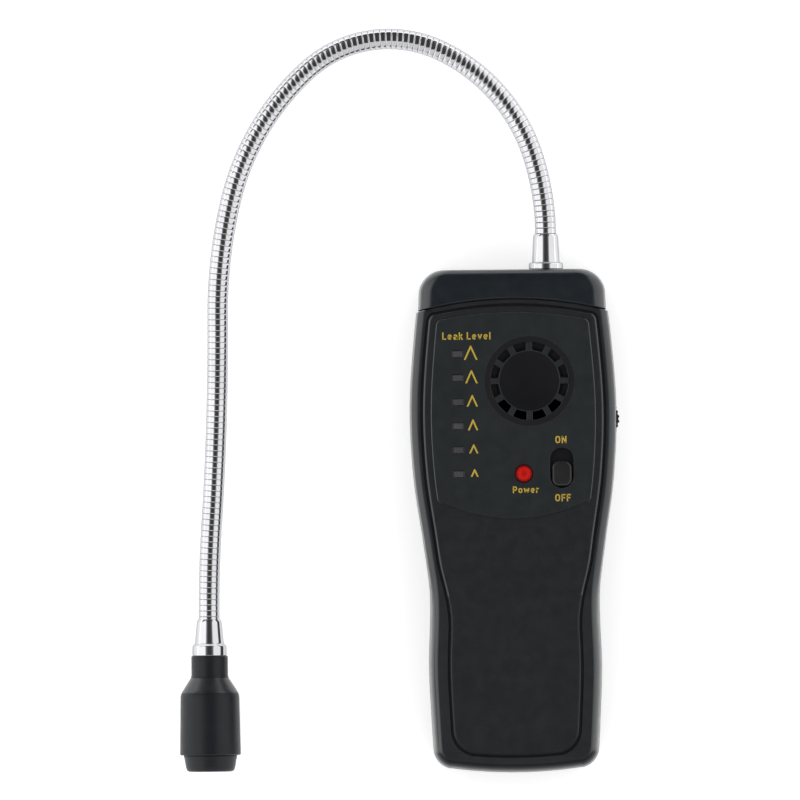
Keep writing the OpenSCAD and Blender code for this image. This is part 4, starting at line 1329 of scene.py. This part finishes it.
def front_finish(x, y, z, groove):
    """Finish of the front shell at a point, by the form that the point lies on; the groove, the sunk ring
    round the grille and the switch's recess get painted shade, and the face's edge at the grip a dimmer
    painted highlight.
    """
    off = math.hypot(x - GRILLE_X, y - GRILLE_Y)
    if off < DISH_OUT and z > DISH_FLOOR:
        return "grille_black"
    if RING_IN < off < RING_OUT and RING_LOW < z < RING_HIGH:
        return "painted_shade_black"
    if z > FACE_Z + NEAR_Z:
        return "panel_black"
    if in_recess(x, y, z):
        return "painted_shade_black"
    if not GROOVE_LOW < z < FACE_Z - NEAR_Z:
        return "housing_black"
    near = np.hypot(groove[:, 0] - x, groove[:, 1] - y).min()
    if z < GROOVE_HIGH and near < GROOVE_W / 2:
        return "painted_shade_black"
    if z > RIM_Z and near < EDGE_OUT and grip_share(y) > 0.5:
        return "edge_painted_shade"
    return "housing_black"


def paint(piece, slots, pick):
    """Further finishes on a piece; pick gives the number of a face's finish from the face's middle."""
    for slot in slots:
        piece.data.materials.append(MATERIALS[slot])
    for face in piece.data.polygons:
        face.material_index = pick(*(face.center / MM))


def front_faces(piece):
    """Own finishes on the panel and the grille, painted shade on the groove, the sunk ring and the recess,
    and a dimmer painted highlight on the face's edge at the grip.
    """
    groove = fine_line(face_plan(0.0))
    paint(piece, FRONT_FINISHES[1:], lambda *at: FRONT_FINISHES.index(front_finish(*at, groove)))


SEAM_DEEP = CAP_BREAK * 0.7


def seam_faces(piece):
    """Painted shade: a matt material with almost no sheen on the cap's faces that turn into the seam."""
    deep = Y_SEAM + SEAM_GAP + SEAM_DEEP
    paint(piece, ["painted_shade_black"], lambda x, y, z: int(y + BULGE_SEAM * x ** 2 < deep))


def stand_in(piece, node, body, slot):
    """Finish, body and slot of a piece that shows in place of a solid."""
    dress(piece, MATERIALS[slot])
    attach(piece, body)
    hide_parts(node)


def build_housing():
    front = front_shell()
    back = back_shell()
    cap = top_cap()
    rows = (
        (front, "front_shell", "housing", "housing_black"),
        (back, "back_shell", "housing", "housing_back"),
        (cap, "top_cap", "housing", "cap_black"),
        (battery_door(), "battery_door", "door", "door_black"),
        (power_lamp(), "power_led", "housing", "lamp_red"),
        (switch_knob(), "switch_knob", "switch", "knob_black"),
        (thumbwheel(), "thumbwheel", "wheel", "knob_black"),
    )
    for row in rows:
        stand_in(*row)
    front_faces(front)
    seam_faces(cap)
    for k in range(LAMP_COUNT):
        stand_in(lens(k), "sense_led_%d" % (k + 1), "housing", "lamp_grey")


CONE_FROM = 20.4
CONE_TO = 25.6


def cone_faces(piece):
    """Painted highlight: a glossier material with more sheen on the probe's cone."""
    x0, y0, heading = arm_pose(ARM_LENGTH)

    def pick(x, y, z):
        along = (x - x0) * cos(heading) + (y - y0) * sin(heading)
        return int(CONE_FROM < along < CONE_TO)

    paint(piece, ["cone_painted_highlight"], pick)


def build_print():
    pieces = [word(*row) for row in WORDS]
    pieces += [chevron(k) for k in range(LAMP_COUNT)]
    for piece in pieces:
        dress(piece, MATERIALS["print_yellow"])
        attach(piece, "housing")


CARRIED = {
    "steel": ("case_screws", "ferrule_nut", "sensor_mesh"),
    "board_green": ("main_board",),
    "speaker_dark": ("speaker",),
    "switch_grey": ("switch_body",),
    "pot_blue": ("pot_base",),
    "cell": ("battery_1", "battery_2", "battery_3"),
    "contact": ("spring_contacts", "plate_contacts"),
    "sensor_can": ("gas_sensor",),
}


def dress_carried():
    """Finishes on the solids that show as they are."""
    for slot, nodes in CARRIED.items():
        for node in nodes:
            dress(bpy.data.objects[node], MATERIALS[slot])


FLOOR_SIZE = 6.0


def build_floor():
    half = FLOOR_SIZE / 2
    corners = [(x * half, y * half, cad_low.z) for x, y in ((-1, -1), (1, -1), (1, 1), (-1, 1))]
    mesh = bpy.data.meshes.new("floor")
    mesh.from_pydata(corners, [], [(0, 1, 2, 3)])
    floor = add_object("floor", mesh)
    dress(floor, floor_white())


# What mirrors see of the studio: strengths, then where each light begins and ends along an axis.
LEFT_LIGHT = 1.5
RIGHT_LIGHT = 1.25
VEIL = 0.15
NEAR_LIGHT = 0.9
LOW_LIGHT = 2.2
DARK_LIGHT = 0.06
SIDE_SPAN = (0.36, 0.54)
VEIL_SPAN = (0.06, 0.42)
OVER_SPAN = (1.30, 1.10)
OVER_LEAN = 0.9
RIGHT_SPAN = (-0.05, 0.05)
NEAR_SPAN = (-0.30, -0.46)
LOW_SPAN = (0.2, 0.08)
LOW_END = (-0.6, -0.2)


def build_world():
    """White studio: even light everywhere; mirrors see white sides and a dark space over the top end."""
    world = bpy.data.worlds.new("studio")
    bpy.context.scene.world = world
    world.use_nodes = True
    tree = world.node_tree
    x, y, z = axes(tree, "Generated")
    wide = math_node(tree, "ABSOLUTE", x)
    sides = times(tree, soft_step(tree, wide, *SIDE_SPAN), 1.0 - VEIL)
    veil = times(tree, soft_step(tree, wide, *VEIL_SPAN), VEIL)
    sides = math_node(tree, "ADD", sides, veil)
    over = math_node(tree, "SUBTRACT", y, times(tree, x, OVER_LEAN))
    sides = times(tree, sides, soft_step(tree, over, *OVER_SPAN))
    right = times(tree, soft_step(tree, x, *RIGHT_SPAN), RIGHT_LIGHT - LEFT_LIGHT)
    sides = times(tree, sides, math_node(tree, "ADD", right, LEFT_LIGHT))
    near = times(tree, soft_step(tree, y, *NEAR_SPAN), NEAR_LIGHT)
    low = times(tree, soft_step(tree, z, *LOW_SPAN), LOW_LIGHT)
    low = times(tree, low, soft_step(tree, y, *LOW_END))
    bright = larger(tree, larger(tree, sides, near), low)
    bright = larger(tree, bright, DARK_LIGHT)
    mirror = tree.nodes.new("ShaderNodeLightPath").outputs["Is Glossy Ray"]
    change = times(tree, mirror, math_node(tree, "SUBTRACT", bright, 1.0))
    back = tree.nodes["Background"]
    tree.links.new(math_node(tree, "ADD", change, 1.0), back.inputs["Strength"])
    back.inputs["Color"].default_value = (1.0, 1.0, 1.0, 1.0)


# The camera, in millimetres but for the width of the frame, which is in metres.
FRAME_W = 0.280
VIEW_X = -39.55
VIEW_Y = 42.745
VIEW_Z = 24.0
VIEW_ROLL = -0.00985
LENS = 1200.0
SENSOR = 36.0


def build_camera():
    """Straight down on the front, from far away."""
    data = bpy.data.cameras.new("camera")
    data.lens = LENS
    data.sensor_width = SENSOR
    data.clip_end = 100.0
    camera = add_object("camera", data)
    away = FRAME_W * LENS / SENSOR
    camera.location = (VIEW_X * MM, VIEW_Y * MM, VIEW_Z * MM + away)
    camera.rotation_euler = (0.0, 0.0, VIEW_ROLL)
    bpy.context.scene.camera = camera


build_housing()
gooseneck()
fittings()
build_print()
dress_carried()
build_floor()
build_world()
build_camera()
bpy.context.scene.view_settings.view_transform = "Standard"
